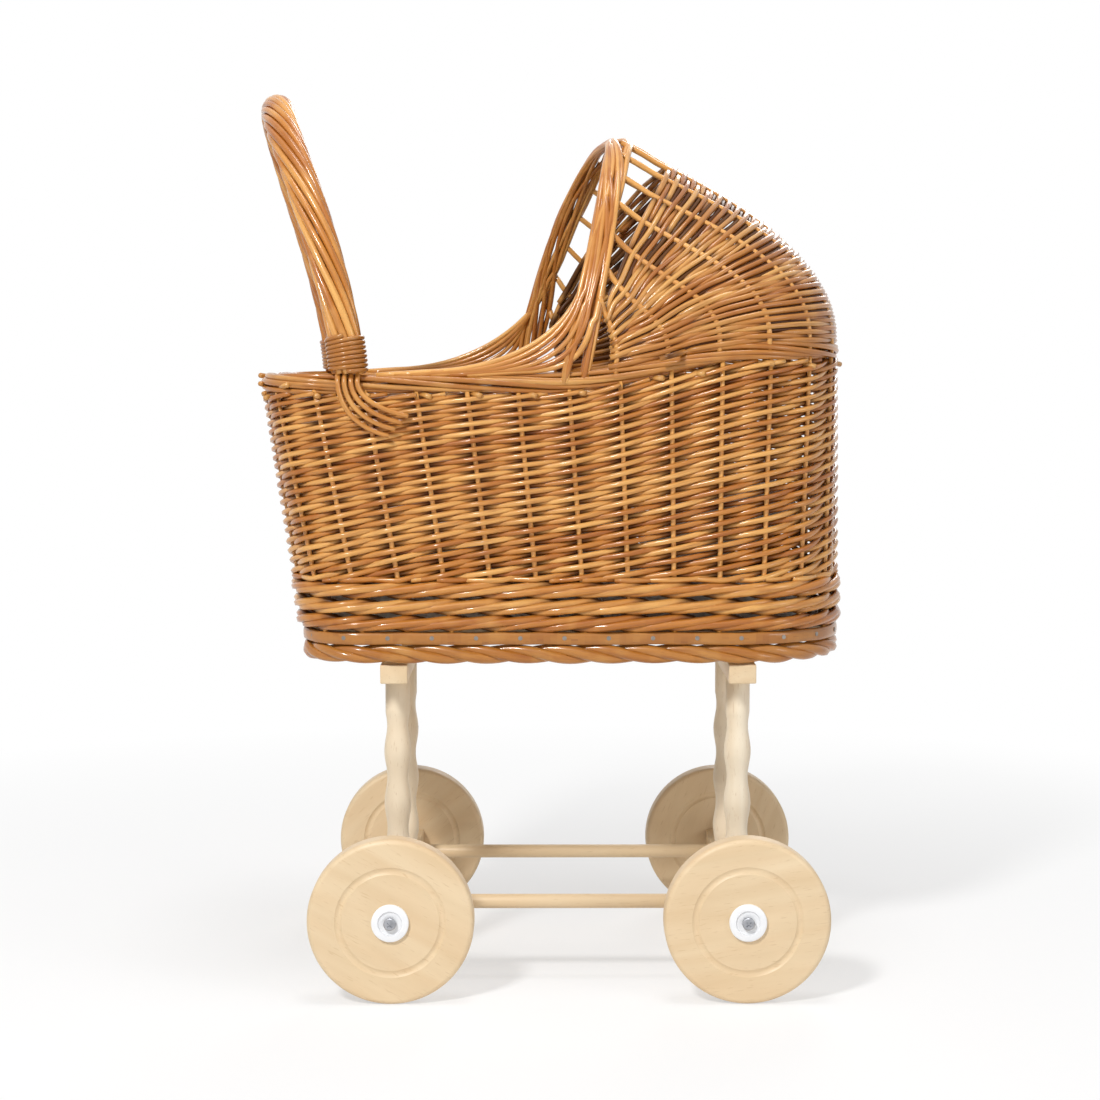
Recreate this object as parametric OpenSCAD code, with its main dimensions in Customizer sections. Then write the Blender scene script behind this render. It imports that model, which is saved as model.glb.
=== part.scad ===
// Doll stroller: a woven willow cradle basket with a fixed hood and a bow handle,
// carried on a turned beech undercarriage with four free wheels.
// +X is the hood end, -X the handle end, -Y the right side. The floor is z = 0.

/* [Wheels] */
// Diameter of a wheel
wheel_d = 120; // [100:1:130]
// Thickness of a wheel
wheel_t = 20; // [14:1:24]
// Radius that rounds the wheel's edges
wheel_edge_r = 4; // [1:0.5:6]
// Middle diameter of the turned groove on a wheel's faces
groove_d = 75; // [50:1:90]
// Width of that groove
groove_w = 5; // [2:0.5:8]
// Depth of that groove
groove_depth = 1.2; // [0.5:0.1:2]
// Outer diameter of the hub bush in the wheel's bore
bush_d = 12; // [9:0.5:16]
// Diameter of the hub bush's outer flange
flange_d = 27; // [20:1:34]
// Thickness of that flange
flange_t = 3; // [2:0.5:5]
// Shank diameter of a wheel screw
axle_d = 5; // [4:0.5:6]
// Head diameter of a wheel screw
axle_head_d = 9; // [7:0.5:12]
// Head height of a wheel screw
axle_head_h = 2.6; // [2:0.2:4]
// Length of a wheel screw under its head
axle_l = 58; // [45:1:80]

/* [Undercarriage] */
// Distance between the front and the rear axle
wheelbase = 256; // [220:1:300]
// Distance between the middles of the two wheels on an axle
track = 284; // [270:1:320]
// Width of an axle beam along the stroller
beam_w = 20; // [16:1:26]
// Height of an axle beam
beam_h = 18; // [16:1:24]
// Width of a crossbar along the stroller
crossbar_w = 20; // [16:1:26]
// Height of a crossbar
crossbar_h = 14; // [12:1:20]
// Length of a crossbar
crossbar_l = 190; // [150:1:190]
// Height of the crossbars' top faces above the floor
chassis_h = 238; // [200:1:270]
// Distance between the two legs on an axle
leg_spread = 105; // [80:1:120]
// Diameter of a leg where it is plain
leg_d = 18; // [14:1:20]
// Plain length at the top of a leg
leg_plain_l = 27.5; // [15:0.5:40]
// How far a leg's waves swell and neck from its plain radius
leg_wave = 1; // [0.4:0.1:1.6]
// Diameter of the tenons at a leg's ends
tenon_d = 10; // [7:0.5:12]
// Length of those tenons
tenon_l = 9; // [6:0.5:11]
// Diameter of a stretcher rod
stretcher_d = 10.6; // [8:0.2:13]
// Distance between the two stretcher rods
stretcher_spread = 172; // [140:1:190]
// Depth of the stretcher's sockets in the axle beams
socket_l = 8; // [5:0.5:12]
// How far the undercarriage sits forward of the origin
chassis_x = 14; // [0:0.2:20]

/* [Basket] */
// Length of the basket over its rim
rim_l = 428; // [390:1:460]
// Width of the basket over its rim
rim_w = 250; // [225:1:260]
// Length of the basket at its base
base_l = 402; // [370:1:420]
// Width of the basket at its base
base_w = 200; // [196:1:220]
// How far the base sits forward of the rim's middle
base_shift = 16; // [0:1:24]
// Height of the basket from the crossbars to the middle of its rim
basket_h = 206; // [160:1:230]
// Corner radius at the handle end
foot_corner = 48; // [30:1:60]
// Corner radius at the hood end
hood_corner = 80; // [55:1:90]
// Thickness of the woven wall
wall_t = 6; // [4:0.5:8]
// Height of the rope border under the base
foot_border_h = 13; // [9:1:16]
// Width of that border
foot_border_w = 12; // [9:1:14]
// Thickness of the base board
board_t = 9; // [6:0.5:12]
// Thickness of the split hoop round the base board
hoop_t = 3.2; // [2:0.2:4]
// Height of the thick waling band above the base board
wale_h = 37; // [24:1:50]
// How far the waling band stands proud of the wall
wale_proud = 1.6; // [0.5:0.1:3]
// Height of the rolled rim border
rim_border_h = 14; // [10:1:18]
// Width of the rolled rim border
rim_border_w = 12; // [9:1:14]
// How far the rim climbs towards the hood end
rim_rise = 24; // [0:1:34]
// Diameter of a stake
stake_d = 5; // [3:0.5:6]
// Number of stakes round the basket
stakes = 34; // [24:1:40]

/* [Hood] */
// Height of the hood's front arch above the rim
arch_h = 180; // [150:1:200]
// Where the arch meets the rim, from the origin
arch_x = 17.4; // [0:0.2:40]
// How far the arch's crown leans towards the hood end
arch_lean = 36; // [10:1:60]
// How far the arch's left foot is set back from its right foot
arch_skew = 38; // [0:1:50]
// Width of the arch's bundle of rods along the stroller
arch_w = 18; // [12:1:22]
// Thickness of that bundle
arch_t = 10; // [8:1:14]
// Number of ribs round the hood
hood_ribs = 15; // [9:1:21]
// Diameter of a rib
rib_d = 4.4; // [3:0.2:6]

/* [Handle] */
// Height of the handle's middle line above its seat on the rim
handle_h = 197; // [150:1:230]
// Diameter of the handle's bundle of rods
handle_d = 25; // [18:1:30]
// Where the handle's right foot stands, from the origin
handle_x = -143.6; // [-150:0.2:-130]
// How far the handle leans out past the foot end
handle_lean = 61; // [20:1:80]
// How far the handle's left foot is set back from its right foot
handle_skew = 26; // [0:1:30]
// Height of the binding round a handle foot
binding_h = 27; // [16:1:40]
// Thickness of the binding
binding_t = 2.2; // [1.5:0.1:4]
// Diameter of a rod that tails off over the wall
tail_d = 4; // [3:0.5:5]
// Number of tails at each handle foot
tails = 4; // [2:1:5]

/* [Bedding] */
// Thickness of the mattress
mattress_t = 34; // [20:1:50]
// Width of the pillow
pillow_w = 168; // [120:1:175]
// Depth of the pillow along the stroller
pillow_l = 130; // [100:1:140]
// Thickness of the pillow
pillow_t = 44; // [30:1:50]
// Thickness of the duvet where it lies on the mattress
duvet_t = 52; // [30:1:60]

/* [Clearances] */
// Running clearance round a wheel screw
run_gap = 0.06; // [0.02:0.01:0.1]
// Gap between pieces that rest on each other
seat_gap = 0.3; // [0.2:0.05:0.5]
// Clearance round a glued tenon or rod
glue_gap = 0.1; // [0.05:0.05:0.2]
// Gap between a wheel and the axle beam's end
wheel_gap = 2; // [1:0.5:4]
// Space between the bedding and the basket
bedding_gap = 5; // [2:1:8]

/* [Hidden] */
$fn = 64;

BEECH = "#ecd8b0";
WILLOW = "#c98a3c";
WILLOW_DARK = "#b5742c";
PLY = "#dcc08c";
STEEL = "#b8bcc0";
PLASTIC = "#f4f4f2";
COTTON = "#e9e7e2";

axle_z = wheel_d / 2;
front_x = chassis_x + wheelbase / 2;
rear_x = chassis_x - wheelbase / 2;
right = -1;
left = 1;

bush_bore = axle_d + 2 * run_gap;
press = 0.05;
thread_bite = 0.4;
beam_end = track / 2 - wheel_t / 2 - wheel_gap;
beam_top = axle_z + beam_h / 2;
crossbar_low = chassis_h - crossbar_h;
leg_h = crossbar_low - beam_top;
leg_waves = 3.25;
rings_per_wave = 12;
base_screw_d = 4;
base_screw_y = 30;

border_low = chassis_h + seat_gap;
board_low = border_low + foot_border_h + 2.7;
board_top = board_low + board_t;
wale_low = board_top + seat_gap;
wale_top = wale_low + wale_h;
wall_low = wale_top + seat_gap;
rim_z = chassis_h + basket_h;
rim_x = 2.4;
base_x = rim_x + base_shift;
rise_start = arch_x - 23;
rise_end = rise_start + 167;
climb_steps = round((rim_l - foot_corner - hood_corner) / 33);
wall_drop = rim_border_h / 2 + seat_gap;
stake_inset = wall_t / 2 + hoop_t + 2;

arch_half = rim_w / 2 - 4;
behind_arch = arch_w / 2 + seat_gap;
rib_places = [for (i = [0 : hood_ribs - 1]) 2 * (i + 0.5) / hood_ribs - 1];
handle_half = rim_w / 2 - rim_border_w / 2;
handle_z = rim_z + rim_border_h / 2 + seat_gap;
bed_z = board_top + seat_gap;
bed_top = bed_z + mattress_t;
pillow_tilt = 24;
pillow_back = 18;

// Arithmetic on plans, curves and rings

function lerp(a, b, t) = a + (b - a) * t;

function clamp01(t) = max(0, min(1, t));

function smooth(t) = let (c = clamp01(t)) c * c * (3 - 2 * c);

function unit(v) = v / norm(v);

function bezier(p, t) =
    p[0] * pow(1 - t, 3) + 3 * p[1] * t * pow(1 - t, 2)
    + 3 * p[2] * t * t * (1 - t) + p[3] * pow(t, 3);

// The basket's plan at a height: [foot end x, hood end x, half width, corner radii]
function plan(z, inset = 0) =
    let (t = (z - board_low) / (rim_z - board_low),
         middle = lerp(base_x, rim_x, t),
         half_l = lerp(base_l, rim_l, t) / 2 - inset,
         half_w = lerp(base_w, rim_w, t) / 2 - inset)
    [middle - half_l, middle + half_l, half_w, foot_corner - inset, hood_corner - inset];

// A plan's outline: arcs at its four corners, and side_steps stretches along each side
function corner(cx, cy, r, from, steps = 7) =
    [for (i = [0 : steps]) let (a = from + 90 * i / steps) [cx + r * cos(a), cy + r * sin(a)]];

function side_points(from, to, y, steps) =
    [for (i = [1 : 1 : steps - 1]) [lerp(from, to, i / steps), y]];

function outline(p, side_steps = 1) = concat(
    corner(p[1] - p[4], p[2] - p[4], p[4], 0),
    side_points(p[1] - p[4], p[0] + p[3], p[2], side_steps),
    corner(p[0] + p[3], p[2] - p[3], p[3], 90),
    corner(p[0] + p[3], p[3] - p[2], p[3], 180),
    side_points(p[0] + p[3], p[1] - p[4], -p[2], side_steps),
    corner(p[1] - p[4], p[4] - p[2], p[4], 270)
);

// Length of half an outline, and the lengths of its five stretches from the hood end
function stretches(p) =
    [p[2] - p[4], p[4] * PI / 2, p[1] - p[4] - p[0] - p[3], p[3] * PI / 2, p[2] - p[3]];

function total(v, i = 0) = i == len(v) ? 0 : v[i] + total(v, i + 1);

// The point and outward angle at a distance along an outline from the hood end's middle
function along(p, distance) =
    let (s = stretches(p), a = abs(distance), side = sign(distance),
         d1 = a - s[0], d2 = d1 - s[1], d3 = d2 - s[2], d4 = d3 - s[3],
         hood_a = d1 / p[4] * 180 / PI, foot_a = d3 / p[3] * 180 / PI)
    d1 <= 0 ? [p[1], side * a, 0]
    : d2 <= 0 ? [p[1] - p[4] + p[4] * cos(hood_a), side * (p[2] - p[4] + p[4] * sin(hood_a)),
                 side * hood_a]
    : d3 <= 0 ? [p[1] - p[4] - d2, side * p[2], side * 90]
    : d4 <= 0 ? [p[0] + p[3] - p[3] * sin(foot_a), side * (p[2] - p[3] + p[3] * cos(foot_a)),
                 side * (90 + foot_a)]
    : [p[0], side * (p[2] - p[3] - d4), 180];

// Even places round a plan, as [x, y, outward angle]. start is 0 for stakes, 0.5 between them
function places(p, count, start = 0) =
    let (half = total(stretches(p)))
    [for (i = [0 : count - 1]) along(p, half * (2 * (i + start) / count - 1))];

// Height of the rim's middle line over a point along the stroller
function rim_line(x) = rim_z + rim_rise * smooth((x - rise_start) / (rise_end - rise_start));

// Height at which a piece stands on the rim border
function rim_seat(x) = rim_line(x) + rim_border_h / 2 + seat_gap;

// A ring of 3-D points at a height, or at a share of the way up to the climbing rim
function ring_at(z, inset) = [for (q = outline(plan(z, inset))) [q[0], q[1], z]];

function ring_up(share, inset, drop) =
    [for (q = outline(plan(lerp(wall_low, rim_z - drop, share), inset), climb_steps))
        [q[0], q[1], lerp(wall_low, rim_line(q[0]) - drop, share)]];

// Faces between rings of n points. Closed lists of rings join last to first
module skin(rings, closed = true) {
    n = len(rings[0]);
    m = len(rings);
    sides = [for (j = [0 : m - (closed ? 1 : 2)], i = [0 : n - 1])
        let (k = (j + 1) % m, h = (i + 1) % n)
        each [[j * n + i, k * n + i, k * n + h], [j * n + i, k * n + h, j * n + h]]];
    caps = closed ? [] : [
        [for (i = [0 : n - 1]) i],
        [for (i = [n - 1 : -1 : 0]) (m - 1) * n + i]
    ];
    polyhedron([for (r = rings) each r], concat(sides, caps), convexity = 6);
}

// A rod or bundle with an oval section along a path. out gives the section's thin way
function tangent(path, i) =
    unit(path[min(i + 1, len(path) - 1)] - path[max(i - 1, 0)]);

function rod_rings(path, half_along, half_out, out, sides = 8) =
    [for (i = [0 : len(path) - 1])
        let (t = tangent(path, i), a = unit(cross(out[i], t)), b = cross(t, a))
        [for (k = [0 : sides - 1])
            let (w = -360 * k / sides)
            path[i] + a * half_along * cos(w) + b * half_out * sin(w)]];

// A path with both ends brought straight down to the rim
function on_rim(q, half) = [q[0], q[1], rim_seat(q[0] + half)];

function footed(path, half) =
    concat([on_rim(path[0], half)], path, [on_rim(path[len(path) - 1], half)]);

// Chassis

module wheel(x, side) {
    half = wheel_t / 2;
    r = wheel_d / 2;
    groove_r = (pow(groove_w / 2, 2) + pow(groove_depth, 2)) / (2 * groove_depth);
    edge = [for (i = [0 : 8]) let (a = 90 * i / 8)
        [r - wheel_edge_r * (1 - cos(a)), half - wheel_edge_r * (1 - sin(a))]];
    lower_edge = [for (i = [8 : -1 : 0]) [edge[i][0], -edge[i][1]]];
    color(BEECH) translate([x, side * track / 2, axle_z]) rotate([-90 * side, 0, 0])
        rotate_extrude() difference() {
            polygon(concat([[bush_d / 2, -half]], lower_edge, edge, [[bush_d / 2, half]]));
            for (face = [-1, 1])
                translate([groove_d / 2, face * (half + groove_r - groove_depth)])
                    circle(r = groove_r);
        }
}

module bush(x, side) {
    sleeve_l = wheel_t + wheel_gap - seat_gap;
    dome = 0.8;
    color(PLASTIC) translate([x, side * (beam_end + seat_gap), axle_z]) rotate([-90 * side, 0, 0])
        rotate_extrude() polygon([
            [bush_bore / 2, 0],
            [bush_d / 2 + press / 2, 0],
            [bush_d / 2 + press / 2, sleeve_l],
            [flange_d / 2, sleeve_l],
            [flange_d / 2, sleeve_l + flange_t - dome],
            [flange_d / 2 - dome, sleeve_l + flange_t],
            [bush_bore / 2, sleeve_l + flange_t]
        ]);
}

module wheel_screw(x, side) {
    head_y = track / 2 + wheel_t / 2 + flange_t + seat_gap;
    crown = 0.7;
    slot_w = 1.1;
    slot_l = 4.6;
    color(STEEL) translate([x, side * head_y, axle_z]) rotate([-90 * side, 0, 0])
        difference() {
            union() {
                translate([0, 0, -axle_l]) cylinder(d = axle_d, h = axle_l + 0.1);
                cylinder(d = axle_head_d, h = axle_head_h - crown);
                translate([0, 0, axle_head_h - crown])
                    cylinder(d1 = axle_head_d, d2 = axle_head_d - 2 * crown, h = crown);
            }
            for (a = [45, 135])
                rotate([0, 0, a]) translate([-slot_l / 2, -slot_w / 2, axle_head_h - 1.4])
                    cube([slot_l, slot_w, 2]);
        }
}

module axle_beam(x) {
    hole_l = axle_l - wheel_t - flange_t - wheel_gap;
    color(BEECH) difference() {
        translate([x - beam_w / 2, -beam_end, axle_z - beam_h / 2])
            cube([beam_w, 2 * beam_end, beam_h]);
        for (side = [right, left]) {
            translate([x, side * (beam_end - hole_l / 2), axle_z]) rotate([90, 0, 0])
                cylinder(d = axle_d - thread_bite, h = hole_l + 1, center = true);
            translate([x, side * leg_spread / 2, beam_top - tenon_l - 1])
                cylinder(d = tenon_d + 2 * glue_gap, h = tenon_l + 2);
            translate([x, side * stretcher_spread / 2, axle_z]) rotate([0, 90 * sign(chassis_x - x), 0])
                translate([0, 0, beam_w / 2 - socket_l])
                    cylinder(d = stretcher_d + 2 * glue_gap, h = socket_l + 1);
        }
    }
}

module stretcher(side) {
    length = wheelbase - beam_w + 2 * (socket_l - seat_gap);
    color(BEECH) translate([chassis_x, side * stretcher_spread / 2, axle_z]) rotate([0, 90, 0])
        cylinder(d = stretcher_d, h = length, center = true);
}

module leg(x, side) {
    wave_l = (leg_h - leg_plain_l) / leg_waves;
    steps = leg_waves * rings_per_wave;
    wave = [for (i = [0 : steps])
        let (down = wave_l * i / rings_per_wave)
        [leg_d / 2 - leg_wave * sin(360 * down / wave_l), leg_h - leg_plain_l - down]];
    color(BEECH) translate([x, side * leg_spread / 2, beam_top])
        rotate_extrude() polygon(concat(
            [[0, leg_h + tenon_l], [tenon_d / 2, leg_h + tenon_l], [tenon_d / 2, leg_h]],
            [[leg_d / 2, leg_h]],
            wave,
            [[tenon_d / 2, 0], [tenon_d / 2, -tenon_l], [0, -tenon_l]]
        ));
}

module crossbar(x) {
    color(BEECH) difference() {
        translate([x - crossbar_w / 2, -crossbar_l / 2, crossbar_low])
            cube([crossbar_w, crossbar_l, crossbar_h]);
        for (side = [right, left]) {
            translate([x, side * leg_spread / 2, crossbar_low - 1])
                cylinder(d = tenon_d + 2 * glue_gap, h = tenon_l + 1 + seat_gap);
            translate([x, side * base_screw_y, crossbar_low + 2])
                cylinder(d = base_screw_d - thread_bite, h = crossbar_h);
        }
    }
}

module base_screws() {
    head_h = 2;
    length = board_t + board_low - chassis_h + crossbar_h - 3;
    color(STEEL) for (x = [front_x, rear_x], side = [right, left])
        translate([x, side * base_screw_y, board_top - length]) {
            cylinder(d = base_screw_d, h = length - head_h);
            translate([0, 0, length - head_h - 0.01])
                cylinder(d1 = base_screw_d, d2 = 2 * base_screw_d, h = head_h);
        }
}

// Basket

module base_board() {
    color(PLY) difference() {
        translate([0, 0, board_low]) linear_extrude(board_t)
            polygon(outline(plan(board_low, hoop_t + seat_gap)));
        for (p = places(plan(board_low, stake_inset), stakes))
            translate([p[0], p[1], board_low - 1])
                cylinder(d = stake_d + 2 * glue_gap, h = board_t + 2, $fn = 24);
        for (x = [front_x, rear_x], side = [right, left])
            translate([x, side * base_screw_y, board_low - 1]) {
                cylinder(d = base_screw_d + 2 * glue_gap, h = board_t + 2);
                translate([0, 0, board_t - 1])
                    cylinder(d1 = base_screw_d + 2 * glue_gap, d2 = 2 * base_screw_d + 1, h = 2.2);
            }
    }
}

module base_hoop() {
    color(WILLOW_DARK) skin([
        ring_at(board_low - 0.5, 0),
        ring_at(board_top - 0.2, 0),
        ring_at(board_top - 0.2, hoop_t),
        ring_at(board_low - 0.5, hoop_t)
    ]);
}

module hoop_nails() {
    head_d = 3.2;
    head_t = 0.8;
    shank_d = 1.4;
    shank_l = 12;
    color(STEEL) for (p = places(plan(board_low + board_t / 2), stakes, 0.5))
        translate([p[0], p[1], board_low + board_t / 2]) rotate([0, 90, p[2]]) {
            cylinder(d = head_d, h = head_t, $fn = 24);
            translate([0, 0, -shank_l]) cylinder(d = shank_d, h = shank_l + 0.1, $fn = 16);
        }
}

// An eight-sided rope round the basket. climb is 1 where it follows the rim, 0 where level
module rolled_border(z, width, height, climb) {
    skin([for (k = [0 : 7])
        let (a = 360 * (k + 0.5) / 8,
             inset = width / 2 * (1 - cos(a) / cos(22.5)),
             up = height / 2 * sin(a) / cos(22.5))
        [for (q = outline(plan(z, inset), climb > 0 ? climb_steps : 1))
            [q[0], q[1], z + climb * (rim_line(q[0]) - rim_z) + up]]]);
}

module foot_border() {
    color(WILLOW) rolled_border(border_low + foot_border_h / 2, foot_border_w, foot_border_h, 0);
}

module stake_feet() {
    low = border_low + foot_border_h + seat_gap;
    color(WILLOW) for (p = places(plan(board_low, stake_inset), stakes))
        translate([p[0], p[1], low]) cylinder(d = stake_d, h = board_top - low, $fn = 24);
}

module waling_band() {
    color(WILLOW) skin([
        ring_at(wale_low, -wale_proud / 2),
        ring_at(lerp(wale_low, wale_top, 0.12), -wale_proud),
        ring_at(lerp(wale_low, wale_top, 0.88), -wale_proud),
        ring_at(wale_top, -wale_proud / 2),
        ring_at(wale_top, wall_t),
        ring_at(wale_low, wall_t)
    ]);
}

module basket_wall() {
    shares = [0, 0.25, 0.5, 0.75, 1];
    color(WILLOW) skin(concat(
        [for (s = shares) ring_up(s, 0, wall_drop)],
        [for (i = [len(shares) - 1 : -1 : 0]) ring_up(shares[i], wall_t, wall_drop)]
    ));
}

module rim_border() {
    color(WILLOW_DARK) rolled_border(rim_z, rim_border_w, rim_border_h, 1);
}

// Hood. A place u runs from 0 at an arch foot to 1 at the middle of the hood end.
// The hood starts and ends just behind the arch

function arch_angle(u) = 90 * (0.16 + 0.84 * pow(u, 1.15));

function arch_at(angle, side) = [
    arch_x + arch_lean * sin(angle) - arch_skew * (1 + side) / 2 * cos(angle),
    side * arch_half * cos(angle),
    rim_z + arch_h * sin(angle)
];

function hood_start(u, side) =
    let (p = plan(rim_z), s = stretches(p), foot = arch_at(0, side)[0],
         run = s[0] + s[1] + p[1] - p[4] - foot - behind_arch - 2.2,
         q = along(p, side * run * (1 - u)))
    [q[0], q[1], rim_seat(q[0]) + 0.2];

function hood_end(u, side) =
    arch_at(arch_angle(u), side) + [behind_arch + 0.5 * pow(cos(arch_angle(u)), 2), 0, 0];

// How steeply a rib climbs where it meets the arch, in degrees
function rib_slope(u) = 24 + 42 * pow((90 - arch_angle(u)) / 70, 3);

function hood_curve(u, side) =
    let (start = hood_start(u, side), end = hood_end(u, side), reach = norm(end - start),
         c2 = pow(cos(arch_angle(u)), 2),
         rise = [0.25 * pow(1 - u, 6), 0, 1],
         ahead = unit([-1, -side * 0.6 * c2, tan(rib_slope(u))]))
    [start, start + rise * reach * (0.30 + 0.06 * c2),
     end - ahead * reach * (0.41 + 0.10 * c2), end];

// A point of the hood's surface. t runs from -1 at the right arch foot to 1 at the left
function hood_at(t, v) = bezier(hood_curve(1 - abs(t), t < 0 ? right : left), v);

function hood_out(t, v) =
    let (e = 0.01, ta = min(t + e, 1), tb = max(t - e, -1), va = min(v + e, 1), vb = max(v - e, 0))
    unit(cross(hood_at(ta, v) - hood_at(tb, v), hood_at(t, va) - hood_at(t, vb)));

// How far up a rib the weave reaches
function weave_edge(t) = let (a = arch_angle(1 - abs(t))) 0.88 + 0.07 * cos(a) * cos(a);

function hood_depth(t, v, depth) = hood_at(t, v) - hood_out(t, v) * depth;

module hood_shell() {
    across = 36;
    up = 9;
    outer = [for (j = [0 : up]) [for (i = [0 : across])
        let (t = 2 * i / across - 1) hood_at(t, weave_edge(t) * j / up)]];
    inner = [for (j = [up : -1 : 0]) [for (i = [0 : across])
        let (t = 2 * i / across - 1) hood_depth(t, weave_edge(t) * j / up, wall_t)]];
    rings = concat(outer, inner);
    n = across + 1;
    m = len(rings);
    sides = [for (j = [0 : m - 1], i = [0 : across - 1])
        let (k = (j + 1) % m)
        each [[j * n + i, k * n + i, k * n + i + 1], [j * n + i, k * n + i + 1, j * n + i + 1]]];
    end_low = [for (j = [0 : up - 1])
        each [[j * n, (m - 1 - j) * n, (m - 2 - j) * n], [j * n, (m - 2 - j) * n, (j + 1) * n]]];
    end_high = [for (f = end_low) [f[0] + across, f[2] + across, f[1] + across]];
    color(WILLOW) polyhedron([for (r = rings) each r], concat(sides, end_low, end_high));
}

// The ribs between the weave and the arch. The first and the last rib end inside the weave
module hood_open_ribs() {
    steps = 3;
    color(WILLOW) for (i = [1 : hood_ribs - 2]) {
        t = rib_places[i];
        end_share = pow(abs(t), 6);
        from = weave_edge(t) + lerp(0.01, 0.08, end_share);
        slant = rib_d / 2 * sin(rib_slope(1 - abs(t))) * lerp(0.6, 1.3, end_share);
        path = [for (k = [0 : steps])
            hood_depth(t, lerp(from, 1, k / steps), lerp(wall_t / 2, 1, k / steps))
                + [k == steps ? slant : 0, 0, 0]];
        out = [for (q = path) hood_out(t, from)];
        skin(rod_rings(path, rib_d / 2, rib_d / 2, out), closed = false);
    }
}

module hood_arch() {
    steps = 16;
    low = asin((rim_border_h / 2 + seat_gap + 6) / arch_h);
    right_half = [for (i = [0 : steps]) arch_at(lerp(low, 90, i / steps), right)];
    left_half = [for (i = [steps - 1 : -1 : 0]) arch_at(lerp(low, 90, i / steps), left)];
    path = footed(concat(right_half, left_half), arch_w / 2);
    out = [for (q = path) unit([0, q[1], q[2] - rim_z])];
    color(WILLOW_DARK) skin(rod_rings(path, arch_w / 2, arch_t / 2, out, 10), closed = false);
}

module arch_sweep(side) {
    top = arch_at(19, side);
    low_z = rim_z + rim_border_h / 2 + seat_gap + 3;
    ahead = arch_w / 2 + 4.5;
    bend = [
        top + [-ahead, side * 1, 0],
        [top[0] - ahead - 6, side * (arch_half + 0.5), rim_z + 34],
        [top[0] - ahead - 28, side * (arch_half + 0.5), low_z],
        [top[0] - ahead - 88, side * (arch_half + 0.5), low_z]
    ];
    path = [for (i = [0 : 12]) bezier(bend, i / 12)];
    out = [for (q = path) [0, side, 0]];
    color(WILLOW) skin(rod_rings(path, 3, 3.4, out), closed = false);
}

// Handle

function handle_at(angle) =
    let (c = cos(angle), s = max(0, sin(angle)))
    [handle_x - handle_lean * pow(s, 1.5) - handle_skew * max(0, -c),
     -handle_half * c, handle_z + handle_h * s];

function handle_path(from, to, steps) =
    [for (i = [0 : steps]) handle_at(lerp(from, to, i / steps))];

function toward_middle(path) =
    [for (q = path) unit([0, q[1], q[2] - handle_z + 1])];

module handle() {
    low = asin(4 / handle_h);
    path = footed(handle_path(low, 180 - low, 36), handle_d / 2);
    color(WILLOW) skin(rod_rings(path, handle_d / 2, handle_d / 2, toward_middle(path), 12),
        closed = false);
}

module handle_binding(from) {
    sweep = 2 * asin(binding_h / 2 / handle_h);
    path = from < 90 ? handle_path(0.6, sweep, 5) : handle_path(180 - sweep, 179.4, 5);
    out = toward_middle(path);
    inner = rod_rings(path, handle_d / 2 + seat_gap, handle_d / 2 + seat_gap, out, 12);
    outer = rod_rings(path, handle_d / 2 + binding_t, handle_d / 2 + binding_t, out, 12);
    rings = concat(outer, [for (i = [len(inner) - 1 : -1 : 0]) inner[i]]);
    color(WILLOW_DARK) skin(rings);
}

module handle_tails(side) {
    foot = handle_at(side == right ? 0 : 180);
    wall_y = plan(rim_z)[2];
    slant = (base_w - rim_w) / 2 / (rim_z - board_low);
    spread = tail_d + 0.7;
    stand_off = tail_d / 2 + seat_gap + 0.6;
    first = -spread * (tails - 1) / 2;
    color(WILLOW) for (i = [0 : tails - 1]) {
        start = foot[0] + first + spread * i;
        drop = 18 + spread * (tails - 1 - i);
        reach = 36;
        low_y = wall_y + slant * (drop + 2);
        bend = [
            [start, side * (wall_y + stand_off), rim_z + 1],
            [start + 1, side * (wall_y + stand_off), rim_z - drop * 0.5],
            [start + reach * 0.35, side * (low_y + stand_off + 1), rim_z - drop],
            [start + reach, side * (low_y + stand_off), rim_z - drop - 5]
        ];
        path = [for (k = [0 : 7]) bezier(bend, k / 7)];
        out = [for (q = path) [0, side, 0]];
        skin(rod_rings(path, tail_d / 2, tail_d / 2, out), closed = false);
    }
}

// Bedding

module bed_space(low, high, room) {
    translate([0, 0, low]) linear_extrude(high - low)
        polygon(outline(plan(low, wall_t + room)));
}

module mattress() {
    color(COTTON) bed_space(bed_z, bed_top, bedding_gap);
}

function pillow_x() = plan(bed_top)[1] - wall_t - bedding_gap - pillow_back;

module pillow() {
    back = pillow_x() - pillow_t / 2;
    round_r = pillow_t / 2;
    low = bed_top + seat_gap + round_r;
    color(COTTON) hull()
        for (y = [-1, 1], end = [0, 1])
            translate([
                back - end * (pillow_l - pillow_t) * cos(pillow_tilt),
                y * (pillow_w / 2 - round_r),
                low + (1 - end) * (pillow_l - pillow_t) * sin(pillow_tilt)
            ]) sphere(round_r, $fn = 24);
}

module duvet() {
    foot = plan(bed_top)[0] + wall_t + bedding_gap + 4;
    fold_x = pillow_x() - pillow_l - 6;
    low = bed_top + seat_gap;
    crest = low + duvet_t + 40;
    profile = [
        [foot + 6, low],
        [fold_x, low],
        [fold_x + 2, low + 20],
        [fold_x + 1, crest - 18],
        [fold_x - 8, crest - 4],
        [fold_x - 28, crest],
        [fold_x - 52, crest - 10],
        [fold_x - 72, low + duvet_t + 6],
        [fold_x - 120, low + duvet_t],
        [foot + 30, low + duvet_t - 6],
        [foot + 6, low + duvet_t - 22],
        [foot, low + 16]
    ];
    color(COTTON) intersection() {
        rotate([90, 0, 0]) linear_extrude(rim_w, center = true) polygon(profile);
        bed_space(low - 1, crest + 1, bedding_gap);
    }
}

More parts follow.
